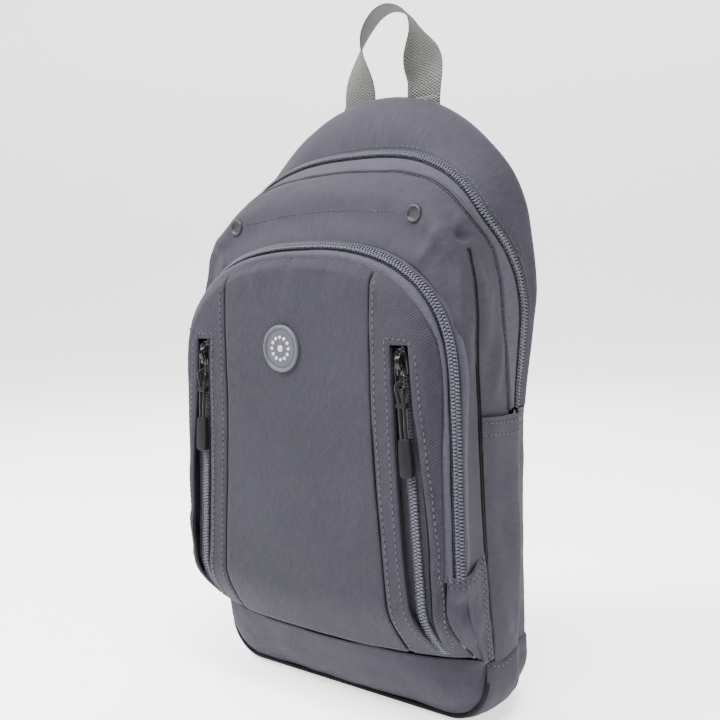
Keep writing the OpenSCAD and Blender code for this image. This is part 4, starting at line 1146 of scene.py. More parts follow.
def build_door_side(side, word):
    """A side panel of the door: an inner strip, an outer strip, and cloth above and below the zip's slot between."""
    edge_half = door_edge_half(side)
    z_levels = np.concatenate([np.linspace(DOOR_LOW, SLOT_FOOT, 5)[:-1], np.linspace(SLOT_FOOT, SLOT_TOP, 92)])
    def slot_half(z, outer):
        wide = through([(48, 0.5), (52, 1.8), (60, 4.2 + 0.4 * outer), (80, 7.0 + 0.6 * outer), (120, 8.0 + 1.2 * outer),
                        (165, 7.2 + 0.4 * outer), (185, 6.2), (217, 5.8)], z)
        return wide
    def spread(x, z):
        return door_point(side * x, z)
    top_corner = 10
    up_n = 20
    inner_cols, gap_cols = 10, 7
    lows = z_levels
    # Inner strip, from the seam to the slot.
    rows = []
    for z in lows:
        rows.append((np.linspace(seam_at(z) + 0.35, zip_at(z) - slot_half(z, 0), inner_cols), z))
    x_top = np.concatenate([np.linspace(seam_at(SLOT_TOP) + 0.35, zip_at(SLOT_TOP) - slot_half(SLOT_TOP, 0), inner_cols)])
    gap_x = lambda z: np.linspace(zip_at(z) - slot_half(z, 0), zip_at(z) + slot_half(z, 1), gap_cols)
    full = []
    for x, z in rows:
        full.append(np.stack([np.concatenate([x, gap_x(z)[1:]]), np.full(inner_cols + gap_cols - 1, z)], -1))
    base_x = full[-1][:, 0]
    for t in np.linspace(0, 1, up_n + 1)[1:]:
        target = np.array([float(door_top(np.array(side * xx))) for xx in base_x])
        full.append(np.stack([base_x, SLOT_TOP + (target - SLOT_TOP) * t], -1))
    left_block = np.array(full)
    n_slot = len(lows)
    # Outer strip: a patch between the slot's outer edge and the door's arched edge.
    left_edge = left_block[:, -1]
    a = np.linspace(0, np.pi / 2, 500)
    half = 97.2 if side > 0 else 100.0
    ax, az = half * np.cos(a) ** 0.8, 190 + 73.5 * np.sin(a) ** 0.8
    keep = ax >= left_edge[-1, 0]
    ax, az = ax[keep], az[keep]
    edge_run = run_of(np.stack([ax, az], -1))
    split = edge_run[-1] * 0.55
    out_cols = 13
    arch_at = lambda d: np.stack([np.interp(d, edge_run, ax), np.interp(d, edge_run, az)], -1)
    top = arch_at(np.linspace(edge_run[-1], split, out_cols))
    right_len = (190 - DOOR_LOW) + split
    d = np.linspace(0, right_len, len(left_edge))
    right = np.array([(half, DOOR_LOW + k) if k < 190 - DOOR_LOW else tuple(arch_at(np.array([k - (190 - DOOR_LOW)]))[0]) for k in d])
    low = np.stack([np.linspace(left_edge[0, 0], half, out_cols), np.full(out_cols, DOOR_LOW)], -1)
    right_block = coons(low, top, left_edge, right)
    flat = np.concatenate([left_block, right_block[:, 1:]], 1)
    grid = spread(flat[..., 0], flat[..., 1])[::-1]
    if side > 0:
        grid = grid[:, ::-1]
    count_cols = grid.shape[1]
    slot_cols = range(inner_cols - 1, inner_cols + gap_cols - 2)
    if side > 0:
        slot_cols = [count_cols - 2 - c for c in slot_cols]
    slot_cols = set(slot_cols)
    rows_total = grid.shape[0]
    first_slot_row = rows_total - n_slot
    last_slot_row = rows_total - 1 - 4
    grid = door_cloth(grid, 71 + side, 0.8)
    x, z = np.abs(grid[..., 0]), grid[..., 2]
    beside = np.minimum(np.abs(x - (zip_at(z) - slot_half(z, 0))), np.abs(x - (zip_at(z) + slot_half(z, 1))))
    inside = (z < SLOT_TOP + 0.1) & (z > SLOT_FOOT - 0.1)
    lip = np.where(inside, np.exp(-(beside / 1.1) ** 2), 0)
    grid = grid + normals(grid) * (-0.35 * lip + 0.5 * np.where(inside, np.exp(-((beside - 2.4) / 1.6) ** 2), 0)
                                   * ((x < zip_at(z) - 3) | (x > zip_at(z) + 3)))[..., None]
    sag = np.where(x > zip_at(z) + 3, 1, 0) * np.exp(-((z - 110) / 40) ** 2) * np.exp(-(beside / 6) ** 2)
    grid = grid + normals(grid) * (0.9 * sag)[..., None]
    for start, end, height, width in (((92, 175), (86, 120), 0.8, 4), ((90, 128), (93, 96), -0.9, 3.5), ((96, 140), (92, 108), 0.8, 3),
                                      ((66, 180), (68, 90), 0.4, 3), ((95, 108), (90, 84), 1.3, 4), ((98, 96), (95, 70), -1.1, 3)):
        grid = crease(grid, [(side * start[0], -64, start[1]), (side * end[0], -63, end[1])], height, width, 0.3)
    seam_edge, rim_edge = ("right", "left") if side > 0 else ("left", "right")
    for edge in ("high", seam_edge, rim_edge, "low"):
        grid = edge_roll(grid, edge, 0.8, 1.3)
    keep_cell = lambda r, c: not (c in slot_cols and first_slot_row <= r < last_slot_row)
    panel("side_panel_cloth_" + word, grid, "fold", "pocket_twill", 1.1, keep=keep_cell, uv=grid[..., [0, 2]] * MM,
          replaces=["door_side_panel_" + word])
    line, out = inset(grid, 3.2, seam_edge)
    sew(line[2:-1], out[2:-1], "fold", pitch=3.9, length=2.5)
    # Stitches round the slot: two long rows and one across the top.
    frame_rows = slice(first_slot_row - 2, last_slot_row + 1)
    z_run = grid[frame_rows, 0, 2]
    def row_at(offset, outer):
        line, way = [], []
        for r in range(first_slot_row - 2, last_slot_row + 1):
            zz = grid[r, :, 2].mean()
            target = zip_at(zz) + (slot_half(zz, 1) + offset if outer else -slot_half(zz, 0) - offset)
            order = np.argsort(np.abs(grid[r, :, 0]))
            xs = np.abs(grid[r, order, 0])
            line.append([np.interp(target, xs, grid[r, order, k]) for k in range(3)])
            way.append([np.interp(target, xs, normals_of[r, order, k]) for k in range(3)])
        return np.array(line), unit(np.array(way))
    normals_of = normals(grid)
    # Near-black tubes under the slot's lips: painted shade.
    for outer in (False, True):
        line, way = row_at(-0.5, outer)
        painted_shade_line((line - way * 1.0)[3:-1], "fold", 0.5)
    for offset, outer in ((3.4, False), (4.4, True)):
        line, way = row_at(offset, outer)
        sew(line, way, "fold", pitch=3.6, length=2.3)
    r = first_slot_row - 2
    order = np.argsort(np.abs(grid[r, :, 0]))
    xs = np.abs(grid[r, order, 0])
    span = np.linspace(zip_at(SLOT_TOP) - 9, zip_at(SLOT_TOP) + 9.8, 20)
    line = np.array([[np.interp(s, xs, grid[r, order, k]) for k in range(3)] for s in span])
    way = np.array([[np.interp(s, xs, normals_of[r, order, k]) for k in range(3)] for s in span])
    sew(line, unit(way), "fold", pitch=3.6, length=2.3)
    return grid


POCKET_DEPTH = [(FOOT, -37), (60, -47), (90, -53.5), (150, -54.4), (240, -54.4), (269, -55)]
POCKET_LEFT = [(FOOT, -34), (60, -42), (90, -47), (200, -47), (240, -50), (269, -55)]


def pocket_frame(q):
    """The pocket zip's track, with across towards the door."""
    line = arch_line(q, outline(101.2, 190, 269, 2.5), POCKET_DEPTH, POCKET_LEFT)
    edge = arch_line(q, outline(97.2, 190, 263.5, 2.5), 0, left_grow=2.8)
    edge[:, 1] = door_y(edge[:, 0], edge[:, 2])
    return Track(line, edge - line), edge


def build_pocket_zip():
    q = Q_FULL[(Q_FULL >= 0.29) & (Q_FULL <= 3.71)]
    track, edge = pocket_frame(q)
    coil("pocket_coil_bag", track, -1, "bag", base=-0.1, replaces=["pocket_zip_coil_bag"])
    coil("pocket_coil_door", track, 1, "pocket_door", base=-0.1, replaces=["pocket_zip_coil_door"])
    # Near-black tubes beside the pocket coil: painted shade under its lips.
    painted_shade_line(track.at(-3.3, 0.3), "bag", 0.5)
    painted_shade_line(track.at(3.3, 0.1), "pocket_door", 0.4)
    band("pocket_tape_bag", track, [(-7.5, -2.2), (-5.5, -1.0), (-3.0, -0.1), (-0.5, 0)], "bag", "zip_tape", 0.5,
         replaces=["pocket_zip_tape_bag"])
    reach = np.sum((edge - track.line) * track.across, axis=1)
    drop = np.sum((edge - track.line) * track.out, axis=1)
    rows = [track.at(0.5, 0), track.at(3.0, -0.05)]
    for t in np.linspace(0, 1, 10):
        span = np.maximum(reach - 3.3, 3.0)
        bulge = 1.5 * math.sin(math.pi * t) ** 0.7
        rows.append(track.at(3.3 + span * t * 0.97, bulge + drop * t * 0.9 - 0.9 * t ** 4))
    rows.append(track.at(reach + 1.6, drop - 2.4))
    strip = np.array(rows)
    out = normals(strip)
    strip = strip + out * (0.18 * ripple(strip, 26, 81))[..., None]
    panel("pocket_tape_door", strip, "pocket_door", "zip_tape", 0.5, replaces=["pocket_zip_tape_door"])
    lip = track.at(-3.6, 0.2)
    heap = Heap()
    heap.tube(resample_line(lip, 2), 0.85, (0, 1, 0.3), 8)
    heap.piece("pocket_zip_lip", "bag", "body_nylon")
    return track, edge


def build_patches():
    """The small gussets at the pocket's lower corners, where its zip ends."""
    for side, word in ((1, "right"), (-1, "left")):
        cols = 34
        t = np.linspace(0, 1, cols)
        grid = []
        for row in np.linspace(1, 0, 46):
            points = []
            for k in t:
                hem = 95.5 + 8.0 * k ** 1.6 - 3.5 * math.sin(math.pi * k)
                z = 41.5 + (hem - 41.5) * row
                front = np.array([side * 98.4, float(door_y(np.array(side * 97.0), np.array(z))) + 0.6, z])
                back = np.array([side * 102.9, through(CORNER_DEPTH, np.array([z]))[0] - 1.2, z])
                bow = 2.2 * math.sin(math.pi * k)
                cover = 3.0 * math.exp(-((k - 0.45) / 0.28) ** 2) * smooth((row - 0.62) / 0.3)
                p = front * (1 - k) + back * k + np.array([side * (bow + 0.8 * cover), -0.4 * bow - 0.7 * cover, 0])
                points.append(p)
            grid.append(points)
        grid = np.array(grid)
        if side < 0:
            grid = grid[:, ::1]
        grid = grid if side < 0 else grid[:, ::-1]
        out = normals(grid)
        if np.mean(out[..., 0]) * side < 0:
            grid = grid[:, ::-1]
            out = normals(grid)
        grid = grid + out * (0.5 * ripple(grid, 26, 91 + side) + 0.15 * ripple(grid, 11, 92))[..., None]
        for start, end, height, width in (((-44, 92), (-34, 62), 0.9, 3), ((-56, 84), (-46, 66), -1.2, 3), ((-40, 78), (-33, 50), -0.8, 2.5),
                                          ((-52, 72), (-38, 52), 0.9, 3)):
            grid = crease(grid, [(side * 101, start[0], start[1]), (side * 101, end[0], end[1])], height, width, 0.3)
        grid = edge_roll(grid, "high", 0.7, 1.1)
        fan = "fan_right" if side > 0 else "fan_left"
        panel("corner_patch_" + word, grid, fan, "body_nylon", 1.0, replaces=["gusset_corner_" + word])
        for far in (2.2, 5.4):
            line, way = inset(grid, far, "high")
            sew(line, way, fan, pitch=3.4, length=2.1)
        corner_edge = "left" if grid[0, 0, 1] > grid[0, -1, 1] else "right"
        for far in (2.6, 5.0):
            line, way = inset(grid, far, corner_edge)
            sew(line, way, fan, pitch=3.4, length=2.1)
        hem_line, way = inset(grid, 0.3, "high")
        heap = Heap()
        heap.tube(hem_line - way * 0.5, 0.75, (0, 0, 1), 8)
        heap.piece("patch_hem_" + word, fan, "body_nylon")


def build_side_zips():
    z = np.linspace(SLOT_FOOT - 1.5, SLOT_TOP - 1.5, 160)
    for side, word in ((1, "right"), (-1, "left")):
        x = zip_at(z)
        y = -66 + smooth((78 - z) / 62) * (20 + 26 * (x / 100) ** 2.4) + 3.0
        track = Track(np.stack([side * x, y, z], 1), np.tile([-1.0, 0, 0], (len(z), 1)))
        more = {"replaces": ["side_zip_coils"]} if side > 0 else {}
        coil("side_coil_a_" + word, track, 1, "fold", base=-0.1, **more)
        coil("side_coil_b_" + word, track, -1, "fold", base=-0.1)
        more = {"replaces": ["side_zip_tapes"]} if side > 0 else {}
        for part, near, far in (("a", 0.4, -11.5), ("b", 0.4, 11.5)):
            offsets = np.linspace(near, far, 7) if part == "b" else np.linspace(-near, far, 7)
            offsets = np.sort(side * offsets)[::-1] * side
            tape = np.array([[(side * (xc + o), float(door_y(np.array(side * (xc + o)), np.array(zc))) + 4.6 + 0.12 * abs(o), zc)
                              for xc, zc in zip(x[::3], z[::3])] for o in offsets])
            panel("side_tape_%s_%s" % (part, word), tape, "fold", "zip_tape", 0.5, **(more if part == "a" else {}))
        more = {"replaces": ["zip_pocket_bags"]} if side > 0 else {}
        bag_track = Track(track.line, track.across, 4.0)
        sheet = bag_track.grid([(a, -3.6 - 0.4 * math.sin(a)) for a in np.linspace(-11, 11, 12)])
        panel("zip_pocket_bag_" + word, sheet, "fold", "lining", 0.6, **more)


# ---------- badge ----------

def build_badge():
    centre = np.array([-8.0, float(door_y(np.array(-8.0), np.array(212.0))) + 0.5, 212.0])
    axis = np.array([0, -1.0, 0])
    rim = [(0, 1.45), (5, 1.45), (9.6, 1.45), (10.4, 1.35), (10.8, 0.95), (11.4, 0.95), (11.7, 1.6), (12.2, 2.1), (12.9, 2.15),
           (13.35, 1.75), (13.55, 1.2), (13.5, 0.0)]
    turned_part("badge_disc", centre, axis, rim, "pocket_door", "badge_rubber", 96, replaces=["badge_base"])
    light = plastic("badge_dots", (0.34, 0.34, 0.37), 0.4)
    heap = Heap()
    spots = [(0.0, 0.0, 1.9)] + [(6.4 * math.sin(a), 6.4 * math.cos(a), 1.0)
                                 for a in np.linspace(0, 2 * np.pi, 12, endpoint=False)]
    for x, z, r in spots:
        w = np.linspace(0, 2 * np.pi, 20, endpoint=False)
        rings = [(r, 1.2), (r, 1.75), (r * 0.86, 2.0), (r * 0.5, 2.1)]
        verts = [centre + np.array([x + rr * math.cos(t), -h, z + rr * math.sin(t)]) for rr, h in rings for t in w]
        heap.add(verts, [f[::1] for f in capped(len(rings), 20)])
    heap.piece("badge_pattern", "pocket_door", "badge_rubber", material=light, replaces=["badge_ring"])
    ring = [(13.3, -0.3), (14.4, -0.15), (14.9, -0.4), (15.2, -0.9)]
    w = np.linspace(0, 2 * np.pi, 140)
    circle = np.stack([centre[0] + 12.55 * np.cos(w), np.full_like(w, centre[1] - 2.05), centre[2] + 12.55 * np.sin(w)], 1)


# ---------- zip sliders and pulls ----------

def bevelled(heap, shape, low, high, edge, to_world, axis="y"):
    """A flat outline given thickness, with bevelled edges. shape has (x, z) points, anticlockwise."""
    shape = np.array(shape, float)
    middle = shape.mean(0)
    along = unit(np.roll(shape, -1, 0) - np.roll(shape, 1, 0))
    inwards = np.stack([-along[:, 1], along[:, 0]], 1)
    rings = []
    for level, pull in ((low, edge), (low + edge * 0.35, edge * 0.3), (low + edge, 0), (high - edge, 0),
                        (high - edge * 0.35, edge * 0.3), (high, edge)):
        flat = shape + inwards * pull
        rings.append(np.stack([flat[:, 0], np.full(len(flat), -level), flat[:, 1]], 1))
    heap.add(to_world(np.array(rings).reshape(-1, 3)), capped(len(rings), len(shape)))


def rounded(points, r, steps=5):
    """The outline with its corners rounded."""
    points = [np.array(p, float) for p in points]
    made = []
    for k, p in enumerate(points):
        a, b = points[k - 1], points[(k + 1) % len(points)]
        ra = min(r, np.linalg.norm(a - p) * 0.48, np.linalg.norm(b - p) * 0.48)
        start, end = p + unit(a - p) * ra, p + unit(b - p) * ra
        made += [start * (1 - t) ** 2 + p * 2 * t * (1 - t) + end * t * t for t in np.linspace(0, 1, steps)]
    return np.array(made)


def slider_set(word, to_world, hang, shorter=0.0):
    """A slider, its tab and its corded pull. to_world takes points in the slider's frame, whose face is -y."""
    plate = rounded([(-3.4, 0), (3.4, 0), (4.7, 2.0), (4.7, 8.6), (4.3, 12.2), (1.9, 13.2), (0.6, 11.6), (-0.6, 11.6),
                     (-1.9, 13.2), (-4.3, 12.2), (-4.7, 8.6), (-4.7, 2.0)], 1.2)
    body = Heap()
    bevelled(body, plate, 0.25, 1.75, 0.35, to_world)
    bevelled(body, plate, -5.0, -3.6, 0.3, to_world)
    for x in (-1, 1):
        wall = rounded([(x * 4.3 - 0.5, 1.2), (x * 4.3 + 0.5, 1.2), (x * 4.3 + 0.5, 9.6), (x * 4.3 - 0.5, 9.6)], 0.4)
        bevelled(body, wall, -0.9, 0.5, 0.15, to_world)
    a = np.linspace(-0.1, math.pi + 0.1, 22)
    bridge = np.stack([np.zeros_like(a), -1.5 - 3.1 * np.sin(a), 6.8 + 3.9 * np.cos(a)], 1)
    for x in (-1.05, -0.35, 0.35, 1.05):
        body.tube(to_world(bridge + np.array([x, -0.15, 0])), 0.5, to_world(np.array([[1.0, 0, 0]]))[0] - to_world(np.zeros((1, 3)))[0], 8)
    body.piece("slider_body_" + word, "slider_" + word, "slider_black", replaces=["slider_" + word] if hang is None else hang[0])

    at_tab = lambda p: to_world(np.asarray(p, float) + np.array([0, -3.05, 6.8]))
    x_way = to_world(np.array([[1.0, 0, 0]]))[0] - to_world(np.zeros((1, 3)))[0]
    y_way = to_world(np.array([[0, 1.0, 0]]))[0] - to_world(np.zeros((1, 3)))[0]
    tab = Heap()
    w = np.linspace(0, 2 * np.pi, 60, endpoint=False)
    loop = []
    for t in w:
        c, s_ = math.cos(t), math.sin(t)
        x = 2.75 * np.sign(c) * abs(c) ** 0.75
        z = -6.3 + 6.3 * np.sign(s_) * abs(s_) ** 0.62
        loop.append((x, 0, z))
    loop = np.array(loop + loop[:1])
    tab.tube(at_tab(loop), 0.62, y_way, 8)
    bar_line = np.array([(x, 0, -12.6) for x in np.linspace(-3.2, 3.2, 7)])
    tab.tube(at_tab(bar_line), 0.66, y_way, 8)
    boss = rounded([(-2.5, -1.7), (2.5, -1.7), (2.2, 0.3), (-2.2, 0.3)], 0.5)
    bevelled(tab, boss, -0.55, 0.75, 0.2, at_tab)
    tab.piece("tab_frame_" + word, "tab_" + word, "slider_black", replaces=hang[1])

    cord = Heap()
    path = [(-1.45, 0.05, -40), (-1.5, 0.0, -33), (-1.35, -0.1, -26), (-1.45, -0.5, -19), (-1.4, -1.3, -15.6), (-1.2, -2.1, -13.2),
            (-0.8, -1.7, -11.2), (0, 0.0, -10.35), (0.8, 1.7, -11.2), (1.2, 2.1, -13.2), (1.4, 1.3, -15.6), (1.45, 0.5, -19),
            (1.6, 0.1, -26), (1.45, 0.0, -33), (1.45, 0.05, -40)]
    path = [(x, y, z + shorter * smooth((-19 - z) / 14)) for x, y, z in path]
    smooth_path = spline(path, 6)
    cord.tube(at_tab(smooth_path), 1.25, np.array([0.31, 0.52, 0.79]), 10)
    cord.piece("pull_cord_" + word, "pull_" + word, "pull_black", material=CORD, replaces=hang[2])
    tip = Heap()
    shape = rounded([(-3.6, -39.4), (-4.1, -52), (-3.9, -60.6), (3.9, -60.6), (4.1, -52), (3.6, -39.4)], 2.6, 8)
    shape = shape if area(shape) > 0 else shape[::-1]
    shape = shape + np.array([0, shorter])
    bevelled(tip, shape, -1.8, 1.8, 0.7, at_tab)
    low = -23.6 + shorter * 0.25
    collar = rounded([(-3.3, low), (3.3, low), (3.3, low + 2.8), (-3.3, low + 2.8)], 0.8)
    bevelled(tip, collar, -1.7, 1.75, 0.45, at_tab)
    tip.piece("pull_tip_" + word, "pull_" + word, "pull_black")


def area(shape):
    x, z = np.array(shape).T
    return 0.5 * np.sum(x * np.roll(z, -1) - np.roll(x, -1) * z)


def spline(points, steps):
    points = np.array(points, float)
    padded = np.concatenate([[2 * points[0] - points[1]], points, [2 * points[-1] - points[-2]]])
    made = []
    for k in range(1, len(padded) - 2):
        p0, p1, p2, p3 = padded[k - 1:k + 3]
        for t in np.arange(steps) / steps:
            made.append(0.5 * (2 * p1 + (p2 - p0) * t + (2 * p0 - 5 * p1 + 4 * p2 - p3) * t * t
                               + (3 * p1 - p0 - 3 * p2 + p3) * t ** 3))
    made.append(points[-1])
    return np.array(made)


def build_sliders():
    lean = math.atan(11 / 164)
    def front(side):
        c, s_ = math.cos(-side * lean), math.sin(-side * lean)
        def go(p):
            p = np.asarray(p, float).reshape(-1, 3) + np.array([0, 0, -16.0])
            return np.stack([side * 75 + p[:, 0] * c + p[:, 2] * s_, -64.6 + p[:, 1], 216 - p[:, 0] * s_ + p[:, 2] * c], 1)
        return go
    def left(x, y, z):
        return lambda p: np.stack([x + np.asarray(p, float).reshape(-1, 3)[:, 1], y - np.asarray(p, float).reshape(-1, 3)[:, 0],
                                   z + np.asarray(p, float).reshape(-1, 3)[:, 2]], 1)
    for word, go in (("front_right", front(1)), ("front_left", front(-1)), ("main", left(-105.4, 10, 182)),
                     ("pocket", left(-103.3, -47, 104))):
        parts = [[n for n in frame["record"]["behaviour"]["bodies"][kind + word]] for kind in ("slider_", "tab_", "pull_")]
        slider_set(word, go, parts, 18.0 if word == "pocket" else 0.0)


# ---------- handle ----------

def build_handle():
    n = 170
    t = np.linspace(0, 1, n)
    leg, arch_len = 26.0, 92.0
    total = 2 * leg + arch_len
    d = t * total
    line = []
    for s in d:
        if s < leg:
            line.append((25 - 0.9 * (s / leg) ** 2 + 1.2 * math.sin(math.pi * s / leg) ** 2, 29, 359 + s))
        elif s > leg + arch_len:
            k = total - s
            line.append((-25 + 0.9 * (k / leg) ** 2, 29, 359 + k))
        else:
            a = math.pi * (s - leg) / arch_len
            line.append((24.1 * math.cos(a), 29, 385 + 31 * math.sin(a)))
    line = np.array(line)
    for _ in range(30):
        line[1:-1] = (line[:-2] + 2 * line[1:-1] + line[2:]) / 4
    near = np.minimum(d, total - d)
    turned = smooth((near - 6) / 44)
    right = d < total / 2
    a = np.radians(np.where(right, 113, -67)) * turned
    sign = np.where(right, 1, -1)
    half = 12.4 - 1.7 * turned
    side = np.stack([sign * np.cos(a), sign * np.sin(a), 0 * a], 1)
    along = unit(np.gradient(line, axis=0))
    side = unit(side - along * np.sum(side * along, axis=1)[:, None])
    for _ in range(30):
        side[1:-1] = (side[:-2] + 2 * side[1:-1] + side[2:]) / 4
    side = unit(side - along * np.sum(side * along, axis=1)[:, None])
    up = np.cross(along, side)
    cols = 31
    across = np.linspace(-1, 1, cols)
    front, back = [], []
    for c in across:
        edge = 0.55 * (1 - abs(c) ** 14)
        rib = 0.10 * math.cos(c * math.pi * 10)
        cup = 1.6 * (abs(c) ** 2) * turned * (1 - turned) * 2
        front.append(line + side * (half * c)[:, None] + up * (edge + rib - cup)[:, None])
        back.append(line + side * (half * c)[:, None] + up * (-edge - rib - cup)[:, None])
    ring = np.array(front + back[::-1]).transpose(1, 0, 2)
    rows, count = ring.shape[:2]
    around = np.concatenate([across * 12.4, across[::-1] * 12.4]) * MM
    uv = np.stack(np.meshgrid(around, d * MM), -1)
    faces = capped(rows, count)
    mesh_area = np.cross(ring[0, 1] - ring[0, 0], ring[1, 0] - ring[0, 0])
    if mesh_area @ (ring[0, 0] - ring[0].mean(0)) < 0 or True:
        pass
    obj = piece("handle_webbing", ring, faces, "handle", "webbing", uv=uv, replaces=["handle_loop"])
    fix_sides(obj)
    tabs = Heap()
    for s in (-1, 1):
        base = np.array([(s * 25 + x, 28.2 - 0.1 * k, 359.4 - 5.5 * k) for k in np.linspace(0, 4, 9) for x in np.linspace(-12.4, 12.4, 12)])
        grid = base.reshape(9, 12, 3)
        front_grid, back_grid = grid + np.array([0, -0.6, 0]), grid + np.array([0, 0.6, 0])
        rim = np.concatenate([front_grid, back_grid[:, ::-1]], 1)
        tabs.add(rim, capped(9, 24))
    obj = tabs.piece("handle_ends", "bag", "webbing", replaces=["handle_anchors"])
    fix_sides(obj)


def fix_sides(obj):
    """Turns all faces of a closed piece outward."""
    import bmesh
    made = bmesh.new()
    made.from_mesh(obj.data)
    bmesh.ops.recalc_face_normals(made, faces=made.faces)
    made.to_mesh(obj.data)
    made.free()


# ---------- back, strap and inside ----------

LEAN = math.radians(12.9)


def on_strap(x, y, s):
    """A point on the strap: x across it, y as in the bag and s down from its top."""
    x, y, s = np.broadcast_arrays(np.asarray(x, float), np.asarray(y, float), np.asarray(s, float))
    return np.stack([x * math.cos(LEAN) - s * math.sin(LEAN), y, 342 - x * math.sin(LEAN) - s * math.cos(LEAN)], -1)


def carry(node, slot, bevel=0.35, material=None):
    """Keeps a CAD node, with its finish and softened edges."""
    obj = frame["nodes"][node]
    obj.data.materials.clear()
    obj.data.materials.append(material or MATERIALS[slot])
    if bevel:
        soft = obj.modifiers.new("soft_edges", "BEVEL")
        soft.width = bevel * MM
        soft.segments = 3
        soft.limit_method = "ANGLE"
        soft.angle_limit = math.radians(35)
        soft.harden_normals = False
    return obj


def back_half(z):
    """Half width of the back panel at each height."""
    up = np.clip((z - 222) / 128.5, 0, 1)
    top = 86.5 * np.clip(1 - up ** 2.3, 0, 1) ** (1 / 2.3)
    low = 86.5 - 14 * (1 - np.sqrt(np.clip(1 - ((22 - z) / 14).clip(0, 1) ** 2, 0, 1)))
    return np.where(z > 222, top, low)


def build_back():
    rows = np.concatenate([np.linspace(349.8, 330, 20), np.linspace(328, 9, 150)])
    u = np.linspace(-1, 1, 90)
    grid = np.array([np.stack([u * max(back_half(np.array(z)), 3), np.full(90, 30.0), np.full(90, z)], 1) for z in rows])
    x, z = grid[..., 0], grid[..., 2]
    dent = np.zeros_like(x)
    for cx, cz, hx, hz in ((-43, 128, 31, 90), (43, 128, 31, 90), (0, 262, 60, 29)):
        dx, dz = np.abs(x - cx) - hx, np.abs(z - cz) - hz
        far = np.hypot(np.maximum(dx, 0), np.maximum(dz, 0))
        dent += 1.0 * np.exp(-(far / 3.5) ** 2)
    grid[..., 1] += 1.3 * (1 - np.exp(-((1 - np.abs(u)) * 60 / 6) ** 2))[None, :] - np.minimum(dent, 1) * 1.2
    grid = grid + np.array([0, 1.0, 0]) * (0.25 * ripple(grid, 50, 101))[..., None]
    grid = edge_roll(grid, "left", 0.9, 1.6)
    grid = edge_roll(grid, "right", 0.9, 1.6)
    panel("back_cloth", grid, "bag", "air_mesh", 1.2, replaces=["back_panel"])
    for k, (cx, cz, hx, hz) in enumerate(((-43, 128, 31, 90), (43, 128, 31, 90), (0, 262, 60, 29))):
        cushion("back_pad_%d" % k, cx, cz, hx, hz, 30.4, 4.6, "bag", "air_mesh",
                ["back_pads"] if k == 0 else [], lambda x, y, z: np.stack([x, y, z], -1))
        w = np.linspace(0, 2 * np.pi, 200)
        c, s_ = np.cos(w), np.sin(w)
        loop = np.stack([cx + (hx + 1.6) * np.sign(c) * np.abs(c) ** 0.22, np.full_like(w, 31.0), cz + (hz + 1.6) * np.sign(s_) * np.abs(s_) ** 0.22], 1)
        sew(resample_line(loop, 1.0), (0, 1, 0), "bag", pitch=3.6, length=2.3, lift=0.15)


def cushion(name, cx, cz, hx, hz, y0, thick, body, slot, nodes, go):
    """A padded form over a rounded rectangle, blown up by a short cloth simulation."""
    rows, cols = int(2 * hz / 4), int(2 * hx / 4)
    v, u = np.meshgrid(np.linspace(-1, 1, rows), np.linspace(-1, 1, cols), indexing="ij")
    corner = 0.30
    x = u * hx * np.sqrt(np.clip(1 - corner * 0.5 * v ** 6, 0, 1))
    z = v * hz * np.sqrt(np.clip(1 - corner * 0.5 * u ** 6 * hx / hz, 0, 1))
    edge = np.maximum(np.abs(u), np.abs(v))
    lift = thick * np.clip(1 - edge ** 6, 0, 1) ** 0.5
    front = go(cx + x, y0 + lift, cz + z)
    back = go(cx + x, y0 + 0 * lift - 0.3, cz + z)
    count = rows * cols
    faces = []
    for r in range(rows - 1):
        for c in range(cols - 1):
            a, b, d, e = r * cols + c, r * cols + c + 1, (r + 1) * cols + c, (r + 1) * cols + c + 1
            faces.append((a, d, e, b))
            faces.append((count + a, count + b, count + e, count + d))
    loop = ([c for c in range(cols)] + [r * cols + cols - 1 for r in range(1, rows)]
            + [(rows - 1) * cols + c for c in range(cols - 2, -1, -1)] + [r * cols for r in range(rows - 2, 0, -1)])
    for a, b in zip(loop, loop[1:] + loop[:1]):
        faces.append((a, b, count + b, count + a))
    verts = np.concatenate([front.reshape(-1, 3), back.reshape(-1, 3)])
    verts, faces = inflate(verts, faces, 2.6, hold=lambda p: p[:, 1] < y0 + 0.25)
    obj = piece(name, verts, faces, body, slot, uv=verts[:, [0, 2]] * MM, replaces=nodes)
    fix_sides(obj)
    return obj


